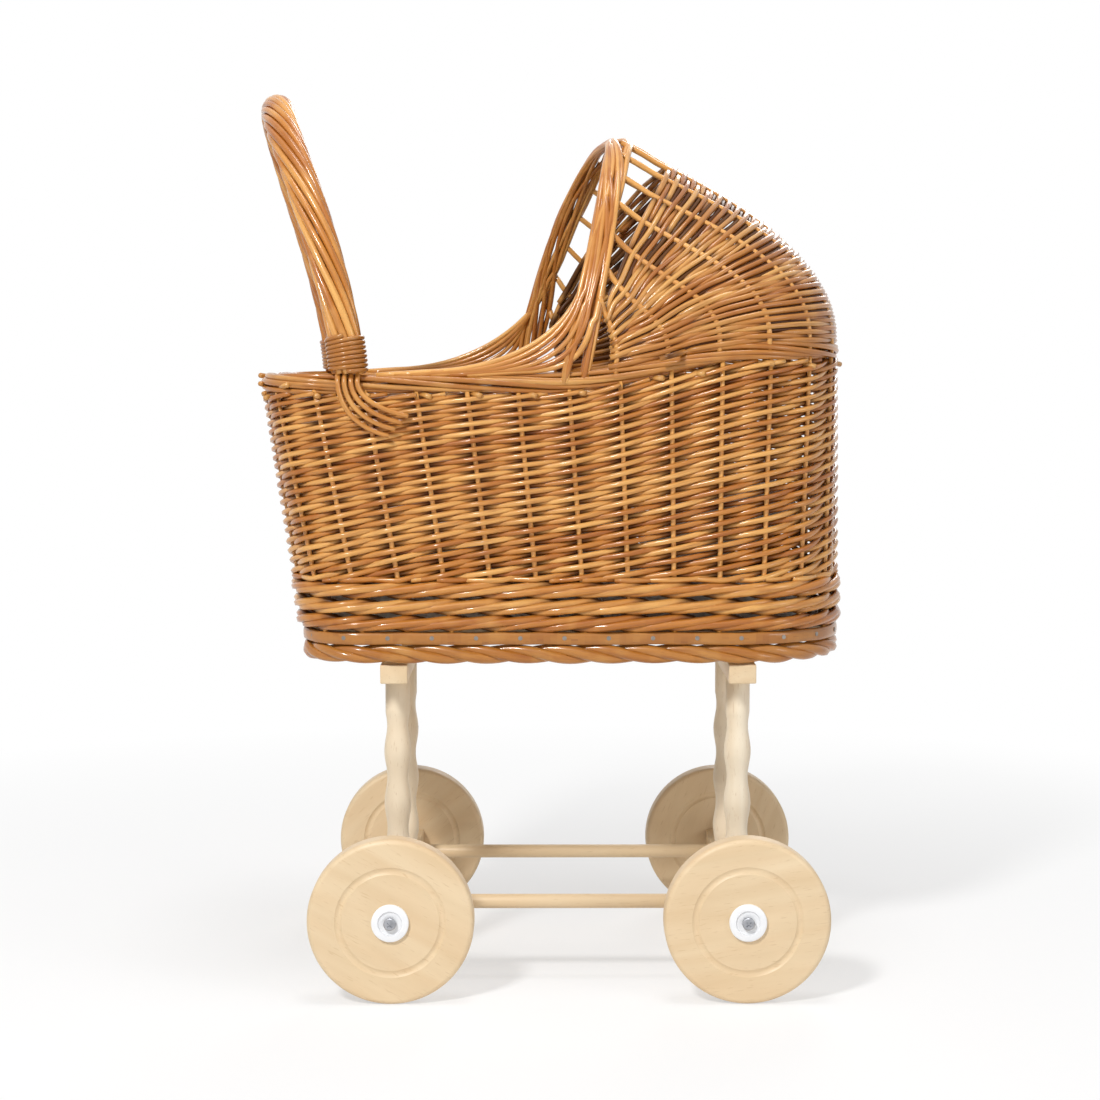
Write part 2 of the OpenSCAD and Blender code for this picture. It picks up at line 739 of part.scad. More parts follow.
wheel(front_x, right);  // wheel_front_right
wheel(front_x, left);  // wheel_front_left
wheel(rear_x, right);  // wheel_rear_right
wheel(rear_x, left);  // wheel_rear_left
bush(front_x, right);  // bush_front_right
bush(front_x, left);  // bush_front_left
bush(rear_x, right);  // bush_rear_right
bush(rear_x, left);  // bush_rear_left
wheel_screw(front_x, right);  // wheel_screw_front_right
wheel_screw(front_x, left);  // wheel_screw_front_left
wheel_screw(rear_x, right);  // wheel_screw_rear_right
wheel_screw(rear_x, left);  // wheel_screw_rear_left
axle_beam(front_x);  // axle_beam_front
axle_beam(rear_x);  // axle_beam_rear
stretcher(right);  // stretcher_right
stretcher(left);  // stretcher_left
leg(front_x, right);  // leg_front_right
leg(front_x, left);  // leg_front_left
leg(rear_x, right);  // leg_rear_right
leg(rear_x, left);  // leg_rear_left
crossbar(front_x);  // crossbar_front
crossbar(rear_x);  // crossbar_rear
base_screws();
base_board();
base_hoop();
hoop_nails();
foot_border();
stake_feet();
waling_band();
basket_wall();
rim_border();
hood_shell();
hood_open_ribs();
hood_arch();
arch_sweep(right);  // arch_sweep_right
arch_sweep(left);  // arch_sweep_left
handle();
handle_binding(0);  // handle_binding_right
handle_binding(180);  // handle_binding_left
handle_tails(right);  // handle_tails_right
handle_tails(left);  // handle_tails_left
mattress();
pillow();
duvet();
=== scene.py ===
# Doll stroller: a woven willow cradle basket with a fixed hood and a bow handle on a turned
# beech undercarriage. Metres; +X is the hood end, -Y the right side, and the floor is z = 0.
from math import asin, ceil, copysign, cos, pi, radians, sin, tan
from random import Random

import bmesh
import bpy
from mathutils import Matrix, Vector


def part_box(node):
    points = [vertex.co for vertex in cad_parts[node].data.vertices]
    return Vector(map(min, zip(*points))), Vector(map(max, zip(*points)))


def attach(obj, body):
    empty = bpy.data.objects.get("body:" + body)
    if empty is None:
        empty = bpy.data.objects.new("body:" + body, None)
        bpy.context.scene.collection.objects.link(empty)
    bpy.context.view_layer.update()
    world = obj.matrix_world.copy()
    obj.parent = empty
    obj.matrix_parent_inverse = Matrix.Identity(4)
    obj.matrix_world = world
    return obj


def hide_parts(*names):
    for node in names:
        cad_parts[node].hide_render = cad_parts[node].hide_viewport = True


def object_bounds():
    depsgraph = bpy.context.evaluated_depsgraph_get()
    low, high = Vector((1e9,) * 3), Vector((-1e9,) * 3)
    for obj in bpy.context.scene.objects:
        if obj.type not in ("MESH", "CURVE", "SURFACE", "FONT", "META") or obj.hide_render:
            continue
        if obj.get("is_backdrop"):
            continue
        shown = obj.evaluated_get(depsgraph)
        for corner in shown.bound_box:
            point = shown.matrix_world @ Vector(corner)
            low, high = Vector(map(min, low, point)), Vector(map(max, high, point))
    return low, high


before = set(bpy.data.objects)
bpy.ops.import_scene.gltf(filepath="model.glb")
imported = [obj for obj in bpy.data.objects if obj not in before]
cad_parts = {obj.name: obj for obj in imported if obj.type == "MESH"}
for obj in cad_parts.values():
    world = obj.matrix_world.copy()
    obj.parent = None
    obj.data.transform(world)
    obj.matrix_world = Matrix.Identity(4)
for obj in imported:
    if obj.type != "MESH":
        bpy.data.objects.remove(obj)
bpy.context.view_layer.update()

# Camera: a short telephoto lens a little above the middle of the stroller, nearly square to its
# right side and tipped down by some five degrees.
LENS_MM = 75.27
SENSOR_MM = 36
CAMERA_AT = (-0.0068, -1.7672, 0.4666)
CAMERA_DOWN = 0.0859
CAMERA_TURN = -0.0044
lens = bpy.data.cameras.new("camera")
lens.lens = LENS_MM
lens.sensor_width = SENSOR_MM
camera = bpy.data.objects.new("camera", lens)
camera.location = CAMERA_AT
camera.rotation_euler = (pi / 2 - CAMERA_DOWN, 0, CAMERA_TURN)
bpy.context.scene.collection.objects.link(camera)
bpy.context.scene.camera = camera
bpy.context.scene.view_settings.view_transform = "Standard"


# Turned beech wheels: a solid disc with rounded edges and one shallow groove turned into each
# face. Each is bored for its plastic bush, and the grain runs straight across it.
class Shade:
    """A shader socket. Arithmetic on it adds Math nodes to its material."""

    def __init__(self, tree, socket=None):
        self.tree = tree
        self.socket = socket

    def node(self, kind, settings=None, inputs=None, out=0):
        """A new node of a kind. Its settings come first, then its sockets' values or links."""
        made = self.tree.nodes.new("ShaderNode" + kind)
        for key, value in (settings or {}).items():
            setattr(made, key, value)
        for key, value in (inputs or {}).items():
            if isinstance(value, Shade):
                self.tree.links.new(value.socket, made.inputs[key])
            else:
                made.inputs[key].default_value = value
        return Shade(self.tree, made.outputs[out])

    def maths(self, operation, first, second):
        return self.node("Math", {"operation": operation}, {0: first, 1: second})

    def __add__(self, other):
        return self.maths("ADD", self, other)

    def __radd__(self, other):
        return self.maths("ADD", other, self)

    def __sub__(self, other):
        return self.maths("SUBTRACT", self, other)

    def __rsub__(self, other):
        return self.maths("SUBTRACT", other, self)

    def __mul__(self, other):
        return self.maths("MULTIPLY", self, other)

    def __rmul__(self, other):
        return self.maths("MULTIPLY", other, self)

    def between(self, low, high):
        """0 below low, 1 above high, and straight between."""
        return self.node("MapRange", {"clamp": True}, {"Value": self, "From Min": low, "From Max": high})

    def mix(self, first, second):
        """The first colour where this is 0, the second where it is 1."""
        colours = {"A": first, "B": second, "Factor": self}
        made = self.tree.nodes.new("ShaderNodeMix")
        made.data_type = "RGBA"
        made.clamp_factor = True
        for name, value in colours.items():
            slot = [s for s in made.inputs if s.name == name and s.enabled][0]
            if isinstance(value, Shade):
                self.tree.links.new(value.socket, slot)
            else:
                slot.default_value = (*value, 1)
        return Shade(self.tree, [s for s in made.outputs if s.enabled][0])


def finish(name, **constants):
    """A new material, its shader and a Shade to build on. Constants go on the shader's sockets."""
    made = bpy.data.materials.new(name)
    made.use_nodes = True
    shader = made.node_tree.nodes["Principled BSDF"]
    for key, value in constants.items():
        shader.inputs[key.replace("_", " ")].default_value = value
    return made, shader, Shade(made.node_tree)


def feed(shader, **links):
    """Links what varies over a surface to the shader's sockets."""
    for key, value in links.items():
        shader.id_data.links.new(value.socket, shader.inputs[key.replace("_", " ")])


def lerp(a, b, t):
    return a + (b - a) * t


BEECH_LIGHT = (0.77, 0.61, 0.40)
BEECH_DARK = (0.68, 0.51, 0.31)
BEECH_RING = (0.66, 0.45, 0.245)
BEECH_FLECK = (0.5, 0.32, 0.16)
BLEACHED_LIGHT = (0.93, 0.87, 0.74)
BLEACHED_DARK = (0.86, 0.78, 0.62)


def beech(name, stretch, turn=0.0, pale=0.0):
    """Lacquered beech. stretch is how many times coarser its figure is along X, Y and Z, turn
    swings the grain about Y, and pale is how far the wood is towards bleached."""
    made, shader, start = finish(name, Coat_Weight=0.12, Coat_Roughness=0.3)
    place = start.node("TexCoord", out="Object")
    swung = start.node("Mapping", {}, {"Vector": place, "Rotation": (0, turn, 0)})
    grained = start.node("Mapping", {}, {"Vector": swung, "Scale": tuple(1 / s for s in stretch)})
    cloud = start.node("TexNoise", {}, {"Vector": grained, "Scale": 60, "Detail": 4})
    fleck = start.node("TexNoise", {}, {"Vector": grained, "Scale": 900, "Detail": 2})
    ring = start.node("TexNoise", {}, {"Vector": grained, "Scale": 14, "Detail": 2, "Distortion": 0.6})
    ply = start.maths("FRACT", ring * 9, 0)
    growth = ply.between(0.0, 0.5) * (1 - ply.between(0.5, 1.0))
    light = tuple(lerp(a, b, pale) for a, b in zip(BEECH_LIGHT, BLEACHED_LIGHT))
    dark = tuple(lerp(a, b, pale) for a, b in zip(BEECH_DARK, BLEACHED_DARK))
    body = cloud.between(0.3, 0.7).mix(light, dark)
    body = (growth * 0.28).mix(body, BEECH_RING)
    body = (fleck.between(0.62, 0.72) * 0.35).mix(body, BEECH_FLECK)
    bump = start.node("Bump", {}, {"Height": fleck, "Strength": 0.12, "Distance": 0.0004})
    feed(shader, Base_Color=body, Roughness=0.42 + cloud * 0.2, Normal=bump)
    return made


def show(name, mesh, body, material, stands_for=(), smooth=True):
    """Puts a finished mesh into the scene as a piece that rides on a body."""
    piece = bpy.data.objects.new(name, mesh)
    bpy.context.scene.collection.objects.link(piece)
    if smooth:
        mesh.shade_smooth()
    mesh.materials.clear()
    mesh.materials.append(material)
    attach(piece, body)
    if stands_for:
        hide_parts(*stands_for)
    return piece


def mesh_of(name, made):
    """Ends a bmesh and gives its mesh."""
    mesh = bpy.data.meshes.new(name)
    made.to_mesh(mesh)
    made.free()
    return mesh


def turned(name, profile, steps=96):
    """A closed mesh turned round Z from a profile of (radius, height), lowest point first."""
    made = bmesh.new()
    line = [made.verts.new((r, 0, z)) for r, z in profile]
    edges = [made.edges.new(pair) for pair in zip(line, line[1:])]
    if profile[0] != profile[-1] and profile[0][0] > 0:
        edges.append(made.edges.new((line[-1], line[0])))
    bmesh.ops.spin(made, geom=line + edges, axis=(0, 0, 1), cent=(0, 0, 0), angle=2 * pi,
                   steps=steps, use_merge=True)
    bmesh.ops.remove_doubles(made, verts=made.verts, dist=1e-6)
    bmesh.ops.recalc_face_normals(made, faces=made.faces)
    return mesh_of(name, made)


def sharpen(mesh, degrees):
    """Smooth shading that stays crisp at edges steeper than an angle."""
    mesh.shade_smooth()
    made = bmesh.new()
    made.from_mesh(mesh)
    for edge in made.edges:
        if len(edge.link_faces) == 2 and edge.calc_face_angle(0) > radians(degrees):
            edge.smooth = False
    made.to_mesh(mesh)
    made.free()


WHEEL_BORE = 0.0061
WHEEL_EDGE = 0.004
GROOVE_R = 0.0375
GROOVE_HALF = 0.0026
GROOVE_DEEP = 0.0012
GROOVE_LIP = 0.0005
EDGE_STEPS = 8
GRAIN_TURN = {"front_right": 0.15, "front_left": 1.2, "rear_right": -0.5, "rear_left": 0.7}

for corner, grain in GRAIN_TURN.items():
    node = "wheel_" + corner
    low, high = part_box(node)
    radius = (high.z - low.z) / 2
    half = (high.y - low.y) / 2
    rounded = [radians(90 * i / EDGE_STEPS) for i in range(EDGE_STEPS + 1)]
    face = [(WHEEL_BORE, half), (GROOVE_R - GROOVE_HALF - GROOVE_LIP, half)]
    face += [(GROOVE_R + GROOVE_HALF * i / 4, half - GROOVE_DEEP * cos(pi * i / 8)) for i in range(-4, 5)]
    face += [(GROOVE_R + GROOVE_HALF + GROOVE_LIP, half)]
    face += [(radius - WHEEL_EDGE * (1 - sin(a)), half - WHEEL_EDGE * (1 - cos(a))) for a in rounded]
    profile = [(r, -z) for r, z in face] + [(r, z) for r, z in reversed(face)]
    mesh = turned(node, profile, 128)
    mesh.transform(Matrix.Translation((low + high) / 2) @ Matrix.Rotation(pi / 2, 4, "X"))
    sharpen(mesh, 35)
    wood = beech("beech_" + node, (9, 1.5, 1), grain)
    show("wheel_disc_" + corner, mesh, corner + "_wheel", wood, [node], smooth=False)

# Hub bushes: white moulded plastic sleeves pressed into the wheels, each with a flat round
# flange outside. The wheel screws are zinc plated, with a cross recess in the head.
SIDES = {"right": -1, "left": 1}
ENDS = ("front", "rear")
BUSH_BORE = 0.00256
SLEEVE_R = 0.006025
FLANGE_T = 0.003
FLANGE_ROUND = 0.0008
RECESS = 0.0011
hub_plastic, hub_shader, hub_start = finish("hub_plastic", Coat_Weight=0.25, Coat_Roughness=0.15)
hub_place = hub_start.node("TexCoord", out="Object")
hub_cloud = hub_start.node("TexNoise", {}, {"Vector": hub_place, "Scale": 240})
feed(hub_shader, Base_Color=hub_cloud.mix((0.80, 0.81, 0.83), (0.86, 0.87, 0.89)),
     Roughness=0.3 + hub_cloud * 0.12)


def metal(name, colour, roughness):
    """Bare or plated steel, a little clouded and dull in patches."""
    made, shader, start = finish(name, Metallic=1.0)
    place = start.node("TexCoord", out="Object")
    cloud = start.node("TexNoise", {}, {"Vector": place, "Scale": 900, "Detail": 3})
    patch = start.node("TexNoise", {}, {"Vector": place, "Scale": 250})
    dull = tuple(0.75 * c for c in colour)
    feed(shader, Base_Color=patch.between(0.35, 0.7).mix(colour, dull), Roughness=roughness + cloud * 0.2,
         Normal=start.node("Bump", {}, {"Height": cloud, "Strength": 0.1, "Distance": 0.0002}))
    return made


def finish_nodes(material, *nodes):
    """Gives a material to CAD nodes that keep their own shape."""
    for name in nodes:
        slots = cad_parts[name].data.materials
        slots.clear()
        slots.append(material)


zinc = metal("zinc_steel", (0.44, 0.45, 0.48), 0.25)
for end in ENDS:
    for side, sign in SIDES.items():
        node = f"bush_{end}_{side}"
        low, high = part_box(node)
        centre = (low + high) / 2
        flange_r = (high.z - low.z) / 2
        length = high.y - low.y
        profile = [
            (BUSH_BORE, 0), (SLEEVE_R, 0), (SLEEVE_R, length - FLANGE_T), (flange_r, length - FLANGE_T),
            (flange_r, length - FLANGE_ROUND), (flange_r - 0.0003, length - 0.0003),
            (flange_r - FLANGE_ROUND, length), (flange_r * 0.66, length), (flange_r * 0.61, length - RECESS),
            (BUSH_BORE + 0.0006, length - RECESS), (BUSH_BORE, length - RECESS - 0.0002),
        ]
        mesh = turned(node, profile, 96)
        outward = Matrix.Rotation(-sign * pi / 2, 4, "X")
        start_y = low.y if sign > 0 else high.y
        mesh.transform(Matrix.Translation((centre.x, start_y, centre.z)) @ outward)
        sharpen(mesh, 40)
        show("hub_bush_" + end + "_" + side, mesh, f"{end}_{side}_wheel", hub_plastic,
             [node], smooth=False)
        finish_nodes(zinc, f"wheel_screw_{end}_{side}")

# Beams and crossbars: square-edged beech bars with broken corners. The axle beams hold the wheel
# screws in their ends, and the crossbars lie under the base board.
BROKEN_EDGE = 0.0009


def bar(node, material):
    """A sawn and planed bar that fills a CAD node's box, its edges broken with glass paper."""
    low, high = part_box(node)
    made = bmesh.new()
    bmesh.ops.create_cube(made, size=1, matrix=Matrix.Translation((low + high) / 2)
                          @ Matrix.Diagonal((*(high - low), 1)))
    bmesh.ops.bevel(made, geom=made.edges[:], offset=BROKEN_EDGE, segments=3, profile=0.5,
                    affect="EDGES", material=-1)
    mesh = mesh_of(node, made)
    sharpen(mesh, 50)
    return show("planed_" + node, mesh, "root", material, [node], smooth=False)


across_beech = beech("beech_across", (1.2, 10, 1))
for end in ENDS:
    bar("axle_beam_" + end, across_beech)
    bar("crossbar_" + end, across_beech)

# Legs: paler beech, turned in soft waves with a plain length at the top. Each has a round tenon
# at both ends, let into an axle beam and a crossbar.
LEG_R = 0.009
LEG_PLAIN = 0.0275
LEG_WAVE = 0.0011
LEG_WAVES = 3.25
LEG_STEPS = 26
LEG_BREAK = 0.0006
WAVE_ENDS = 0.002
TENON_R = 0.005
beam_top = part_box("axle_beam_front")[1].z
bar_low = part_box("crossbar_front")[0].z
upright_beech = beech("beech_upright", (1, 1, 10), 0, 0.65)
for end in ENDS:
    for side in SIDES:
        node = f"leg_{end}_{side}"
        low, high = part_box(node)
        centre = (low + high) / 2
        wave_top = bar_low - LEG_PLAIN
        steps = ceil(LEG_STEPS * LEG_WAVES)
        profile = [(0, low.z), (TENON_R, low.z), (TENON_R, beam_top)]
        for i in range(steps, -1, -1):
            angle = 2 * pi * LEG_WAVES * i / steps
            profile.append((LEG_R - LEG_WAVE * sin(angle), wave_top - (wave_top - beam_top) * i / steps))
        profile += [(LEG_R, wave_top + WAVE_ENDS), (LEG_R, bar_low - LEG_BREAK)]
        profile += [(LEG_R - LEG_BREAK, bar_low), (TENON_R, bar_low), (TENON_R, high.z), (0, high.z)]
        mesh = turned(node, profile, 48)
        mesh.transform(Matrix.Translation((centre.x, centre.y, 0)))
        sharpen(mesh, 45)
        show("turned_" + node, mesh, "root", upright_beech, [node], smooth=False)

# Stretchers: two round beech dowels that run from beam to beam, one on each side, and are let
# into both.
DOWEL_BREAK = 0.0008
along_beech = beech("beech_along", (10, 1, 1))
for side in SIDES:
    node = "stretcher_" + side
    low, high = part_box(node)
    radius = (high.z - low.z) / 2
    made = bmesh.new()
    lying = Matrix.Translation((low + high) / 2) @ Matrix.Rotation(pi / 2, 4, "Y")
    bmesh.ops.create_cone(made, cap_ends=True, segments=40, radius1=radius, radius2=radius,
                          depth=high.x - low.x, matrix=lying)
    end_edges = [e for e in made.edges if e.calc_face_angle(0) > 1]
    bmesh.ops.bevel(made, geom=end_edges, offset=DOWEL_BREAK, segments=2, profile=0.5,
                    affect="EDGES", material=-1)
    mesh = mesh_of(node, made)
    sharpen(mesh, 40)
    show("dowel_" + node, mesh, "root", along_beech, [node], smooth=False)

# Base board: plywood, screwed down on the crossbars, with the stake feet glued in its edge and
# a split willow hoop nailed round it. The board and its fixings keep their CAD shapes.
plywood = beech("plywood", (8, 1, 1))
finish_nodes(plywood, "base_board")
finish_nodes(zinc, "base_screws")
finish_nodes(metal("nail_steel", (0.30, 0.27, 0.24), 0.4), "hoop_nails")

# Split hoop: a flat shaved strip of willow with rounded edges, bent round the edge of the base
# board and nailed to it. It follows the basket's plan, which the rods above it share.
STAKES = 34
FOOT_CORNER = 0.048
HOOD_CORNER = 0.080
hoop_low, hoop_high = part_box("base_hoop")
rim_low, rim_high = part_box("rim_border")
BOARD_Z = hoop_low.z + 0.0005
RIM_H = 0.014
RIM_Z = rim_low.z + RIM_H / 2
BASE_X = (hoop_low.x + hoop_high.x) / 2
BASE_L = hoop_high.x - hoop_low.x
BASE_W = hoop_high.y - hoop_low.y
RIM_X = (rim_low.x + rim_high.x) / 2
RIM_L = rim_high.x - rim_low.x
RIM_W = rim_high.y - rim_low.y
RIM_RISE = 0.024
RISE_FROM = -0.0056
RISE_TO = 0.1614


def smooth(t):
    """A soft step from 0 to 1."""
    t = max(0.0, min(1.0, t))
    return t * t * (3 - 2 * t)


def plan(z):
    """The basket's plan at a height: foot end x, hood end x, half width and two corner radii."""
    t = (z - BOARD_Z) / (RIM_Z - BOARD_Z)
    middle = lerp(BASE_X, RIM_X, t)
    half_l = lerp(BASE_L, RIM_L, t) / 2
    half_w = lerp(BASE_W, RIM_W, t) / 2
    return middle - half_l, middle + half_l, half_w, FOOT_CORNER, HOOD_CORNER


def stretches(p):
    """Lengths along half a plan: hood end, hood corner, side, foot corner and foot end."""
    foot, hood, half_w, foot_r, hood_r = p
    return half_w - hood_r, hood_r * pi / 2, hood - hood_r - foot - foot_r, foot_r * pi / 2, half_w - foot_r


def along(p, distance):
    """The point and outward angle at a distance along a plan from the hood end's middle."""
    foot, hood, half_w, foot_r, hood_r = p
    side = copysign(1, distance)
    left = abs(distance)
    s = stretches(p)
    if left <= s[0]:
        return hood, side * left, 0.0
    left -= s[0]
    if left <= s[1]:
        a = left / hood_r
        return hood - hood_r + hood_r * cos(a), side * (half_w - hood_r + hood_r * sin(a)), side * a
    left -= s[1]
    if left <= s[2]:
        return hood - hood_r - left, side * half_w, side * pi / 2
    left -= s[2]
    if left <= s[3]:
        a = left / foot_r
        y = half_w - foot_r + foot_r * cos(a)
        return foot + foot_r - foot_r * sin(a), side * y, side * (pi / 2 + a)
    return foot, side * (half_w - foot_r - (left - s[3])), side * pi


def rim_line(x):
    """The height of the rim's middle, which rises in a soft S towards the hood end."""
    return RIM_Z + RIM_RISE * smooth((x - RISE_FROM) / (RISE_TO - RISE_FROM))


def round_basket(stake, z, inward, raised=0.0):
    """A point at a stake number, a height and a depth inside the basket's outer face.
    Stake 0 stands at the hood end's middle. raised 1 lifts the point with the rim."""
    p = plan(z)
    half = sum(stretches(p))
    turn = ((stake / STAKES + 0.5) % 1.0) * 2 - 1
    x, y, a = along(p, turn * half)
    return Vector((x - inward * cos(a), y - inward * sin(a), z + raised * (rim_line(x) - RIM_Z)))


def strip(name, rings):
    """A closed band of equal rings, each a list of points, joined last to first."""
    made = bmesh.new()
    tone_layer = made.verts.layers.float.new("rod_tone")
    uv = made.loops.layers.uv.new("rod_uv")
    loops = []
    for ring in rings:
        verts = [made.verts.new(q) for q in ring]
        for vert in verts:
            vert[tone_layer] = 0.5
        loops.append([made.edges.new((verts[i], verts[(i + 1) % len(verts)])) for i in range(len(verts))])
    for i, loop in enumerate(loops):
        joined = bmesh.ops.bridge_loops(made, edges=loop + loops[(i + 1) % len(loops)])
        for face in joined["faces"]:
            for corner in face.loops:
                corner[uv].uv = (i * 0.006, corner.vert.co.z * 8)
    bmesh.ops.recalc_face_normals(made, faces=made.faces)
    return mesh_of(name, made)


HONEY = (0.50, 0.185, 0.026)
PALE = (0.82, 0.45, 0.13)
RUSSET = (0.29, 0.074, 0.007)
HAIRLINE = (0.13, 0.035, 0.008)
PAINTED_SHADE_COLOUR = (0.05, 0.013, 0.003)


def willow(name, light=1.0):
    """Peeled willow, steamed and lacquered honey brown. Each rod has its own tone and streaks
    along its length, and light scales its colour. Painted shade darkens the rods and thins their
    coat where they pass behind others."""
    made, shader, start = finish(name, Coat_Roughness=0.14, Specular_IOR_Level=0.2)
    tone = start.node("Attribute", {"attribute_name": "rod_tone"}, out="Fac")
    painted_shade = start.node("Attribute", {"attribute_name": "rod_painted_shade"}, out="Fac")
    grain = start.node("UVMap", {"uv_map": "rod_uv"})
    drawn = start.node("Mapping", {}, {"Vector": grain, "Scale": (34, 5, 1)})
    streak = start.node("TexNoise", {}, {"Vector": drawn, "Scale": 1, "Detail": 3})
    fine = start.node("Mapping", {}, {"Vector": grain, "Scale": (160, 40, 1)})
    hair = start.node("TexNoise", {}, {"Vector": fine, "Scale": 1, "Detail": 2})
    patch = start.node("TexNoise", {}, {"Vector": start.node("TexCoord", out="Object"), "Scale": 38})
    honey = tuple(light * c for c in HONEY)
    pale = tuple(light * c for c in PALE)
    russet = tuple(light * c for c in RUSSET)
    body = (tone.between(0.4, 1.0) * 0.75).mix(honey, pale)
    body = ((1 - tone.between(0.0, 0.4)) * 0.6).mix(body, russet)
    body = (streak.between(0.45, 0.75) * 0.6).mix(body, russet)
    body = (patch.between(0.52, 0.75) * 0.35).mix(body, pale)
    body = (hair.between(0.6, 0.75) * 0.35).mix(body, HAIRLINE)
    # Painted shade: rods turn nearly black where they pass behind others, and their coat thins there.
    body = (painted_shade * 0.9).mix(body, PAINTED_SHADE_COLOUR)
    relief = {"Height": streak * 0.5 + hair * 0.5, "Strength": 0.25, "Distance": 0.0005}
    feed(shader, Base_Color=body, Roughness=0.32 + streak * 0.18, Coat_Weight=0.7 - painted_shade * 0.65,
         Normal=start.node("Bump", {}, relief))
    return made


HOOP_T = 0.0032
HOOP_ROUND = 0.0011
HOOP_STEPS = 220
HOOP_SECTION = [(0, 0.35), (0, 0.7), (HOOP_ROUND * 0.4, 0.93), (HOOP_ROUND * 1.4, 1.0), (HOOP_T, 1.0),
                (HOOP_T, 0.0), (HOOP_ROUND * 1.4, 0.0), (HOOP_ROUND * 0.4, 0.07)]
skein = willow("split_willow", 0.78)
hoop_rings = []
for i in range(HOOP_STEPS):
    stake = STAKES * i / HOOP_STEPS
    wave = 0.0002 * sin(stake * 2.1) + 0.00015 * sin(stake * 5.3)
    ring = []
    for inward, up in HOOP_SECTION:
        rise = lerp(hoop_low.z, hoop_high.z, up) - BOARD_Z + wave
        ring.append(round_basket(stake, BOARD_Z, inward) + Vector((0, 0, rise)))
    hoop_rings.append(ring)
show("split_hoop", strip("base_hoop", hoop_rings), "root", skein, ["base_hoop"])

# Foot border: the stakes' lower ends, turned down under the base board and twisted on in one
# thick rope of three strands.
FOOT_STRANDS = 3
FOOT_TURNS = 12
FOOT_ROD = 0.0039
FOOT_IN = 0.006
FOOT_WIDE = 0.0030
FOOT_TALL = 0.0034
FOOT_LIFT = 0.0016
FOOT_STEPS = 8


def rods(name, paths, seed, sides=6):
    """One mesh of separate round rods. Each path is (points, radii, tone), and may have a fourth
    list: the painted shade at each point, which darkens the rod where it lies behind others. A tone
    of None is drawn at random."""
    draw = Random(seed)
    made = bmesh.new()
    tone_layer = made.verts.layers.float.new("rod_tone")
    painted_shade_layer = made.verts.layers.float.new("rod_painted_shade")
    curve = bpy.data.curves.new("rod", "CURVE")
    curve.dimensions = "3D"
    curve.bevel_depth = 1
    curve.bevel_resolution = (sides - 4) // 2
    curve.use_fill_caps = True
    holder = bpy.data.objects.new("rod", curve)
    for number, (points, radii, tone, *painted_shades) in enumerate(paths):
        last = len(points) - 1
        curve.splines.clear()
        line = curve.splines.new("POLY")
        line.points.add(last)
        for spot, q, r in zip(line.points, points, radii):
            spot.co = (*q, 1)
            spot.radius = r
        mesh = bpy.data.meshes.new_from_object(holder)
        mesh.uv_layers[0].name = "rod_uv"
        first_vert = len(made.verts)
        first_face = len(made.faces)
        made.from_mesh(mesh)
        bpy.data.meshes.remove(mesh)
        made.verts.ensure_lookup_table()
        made.faces.ensure_lookup_table()
        own = draw.random() if tone is None else max(0.0, min(1.0, tone + draw.uniform(-0.12, 0.12)))
        for vert in made.verts[first_vert:]:
            vert[tone_layer] = own
        length = sum((b - a).length for a, b in zip(points, points[1:]))
        uv = made.loops.layers.uv["rod_uv"]
        for rod_face in made.faces[first_face:]:
            for loop in rod_face.loops:
                u, v = loop[uv].uv
                # Each vertex takes the painted shade of its point along the rod.
                loop.vert[painted_shade_layer] = painted_shades[0][min(last, round(u * last))] if painted_shades else 0.0
                loop[uv].uv = (u * length + number * 0.37, v + number * 1.7)
    bmesh.ops.remove_doubles(made, verts=made.verts, dist=1e-7)
    bpy.data.objects.remove(holder)
    return mesh_of(name, made)


dark_willow = willow("willow_rim", 0.86)
rope_low, rope_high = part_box("foot_border")
rope_z = (rope_low.z + rope_high.z) / 2 + FOOT_LIFT
foot_paths = []
for strand in range(FOOT_STRANDS):
    points, radii = [], []
    for i in range(STAKES * FOOT_STEPS + 1):
        stake = i / FOOT_STEPS
        angle = 2 * pi * (FOOT_TURNS * stake / STAKES + strand / FOOT_STRANDS)
        swell = 1 + 0.08 * sin(1.7 * stake + strand)
        inward = FOOT_IN + FOOT_WIDE * cos(angle) * swell
        up = rope_z + FOOT_TALL * sin(angle) * swell
        points.append(round_basket(stake, BOARD_Z, inward) + Vector((0, 0, up - BOARD_Z)))
        radii.append(FOOT_ROD * (1 + 0.07 * sin(2.9 * stake + 2 * strand)))
    foot_paths.append((points, radii, 0.45))
show("foot_rope", rods("foot_rope", foot_paths, 21, 8), "root", dark_willow, ["foot_border"])

# Stakes: straight peeled rods, paler than the rest. They stand in the base board, carry the
# whole basket and run up inside the weave to the rim.
STAKE_R = 0.0019
STAKE_LEVELS = 8
MID = 0.0044
WALE_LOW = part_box("waling_band")[0].z
WALE_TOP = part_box("waling_band")[1].z


def tapered(points, thick, thin):
    """A radius at each point of a rod, from its thick end to its thin one."""
    last = len(points) - 1
    return [lerp(thick, thin, i / last) for i in range(last + 1)]


stake_paths = []
for k in range(STAKES):
    points = []
    for i in range(STAKE_LEVELS + 1):
        z = lerp(BOARD_Z + 0.001, RIM_Z - 0.004, i / STAKE_LEVELS)
        q = round_basket(k, z, MID)
        q.z += max(0.0, (z - WALE_TOP) / (RIM_Z - WALE_TOP)) * (rim_line(q.x) - RIM_Z)
        points.append(q)
    stake_paths.append((points, tapered(points, STAKE_R * 1.05, STAKE_R * 0.9), 0.95))
pale_willow = willow("willow_stakes", 1.15)
show("stakes", rods("stakes", stake_paths, 31, 8), "root", pale_willow, ["stake_feet"])

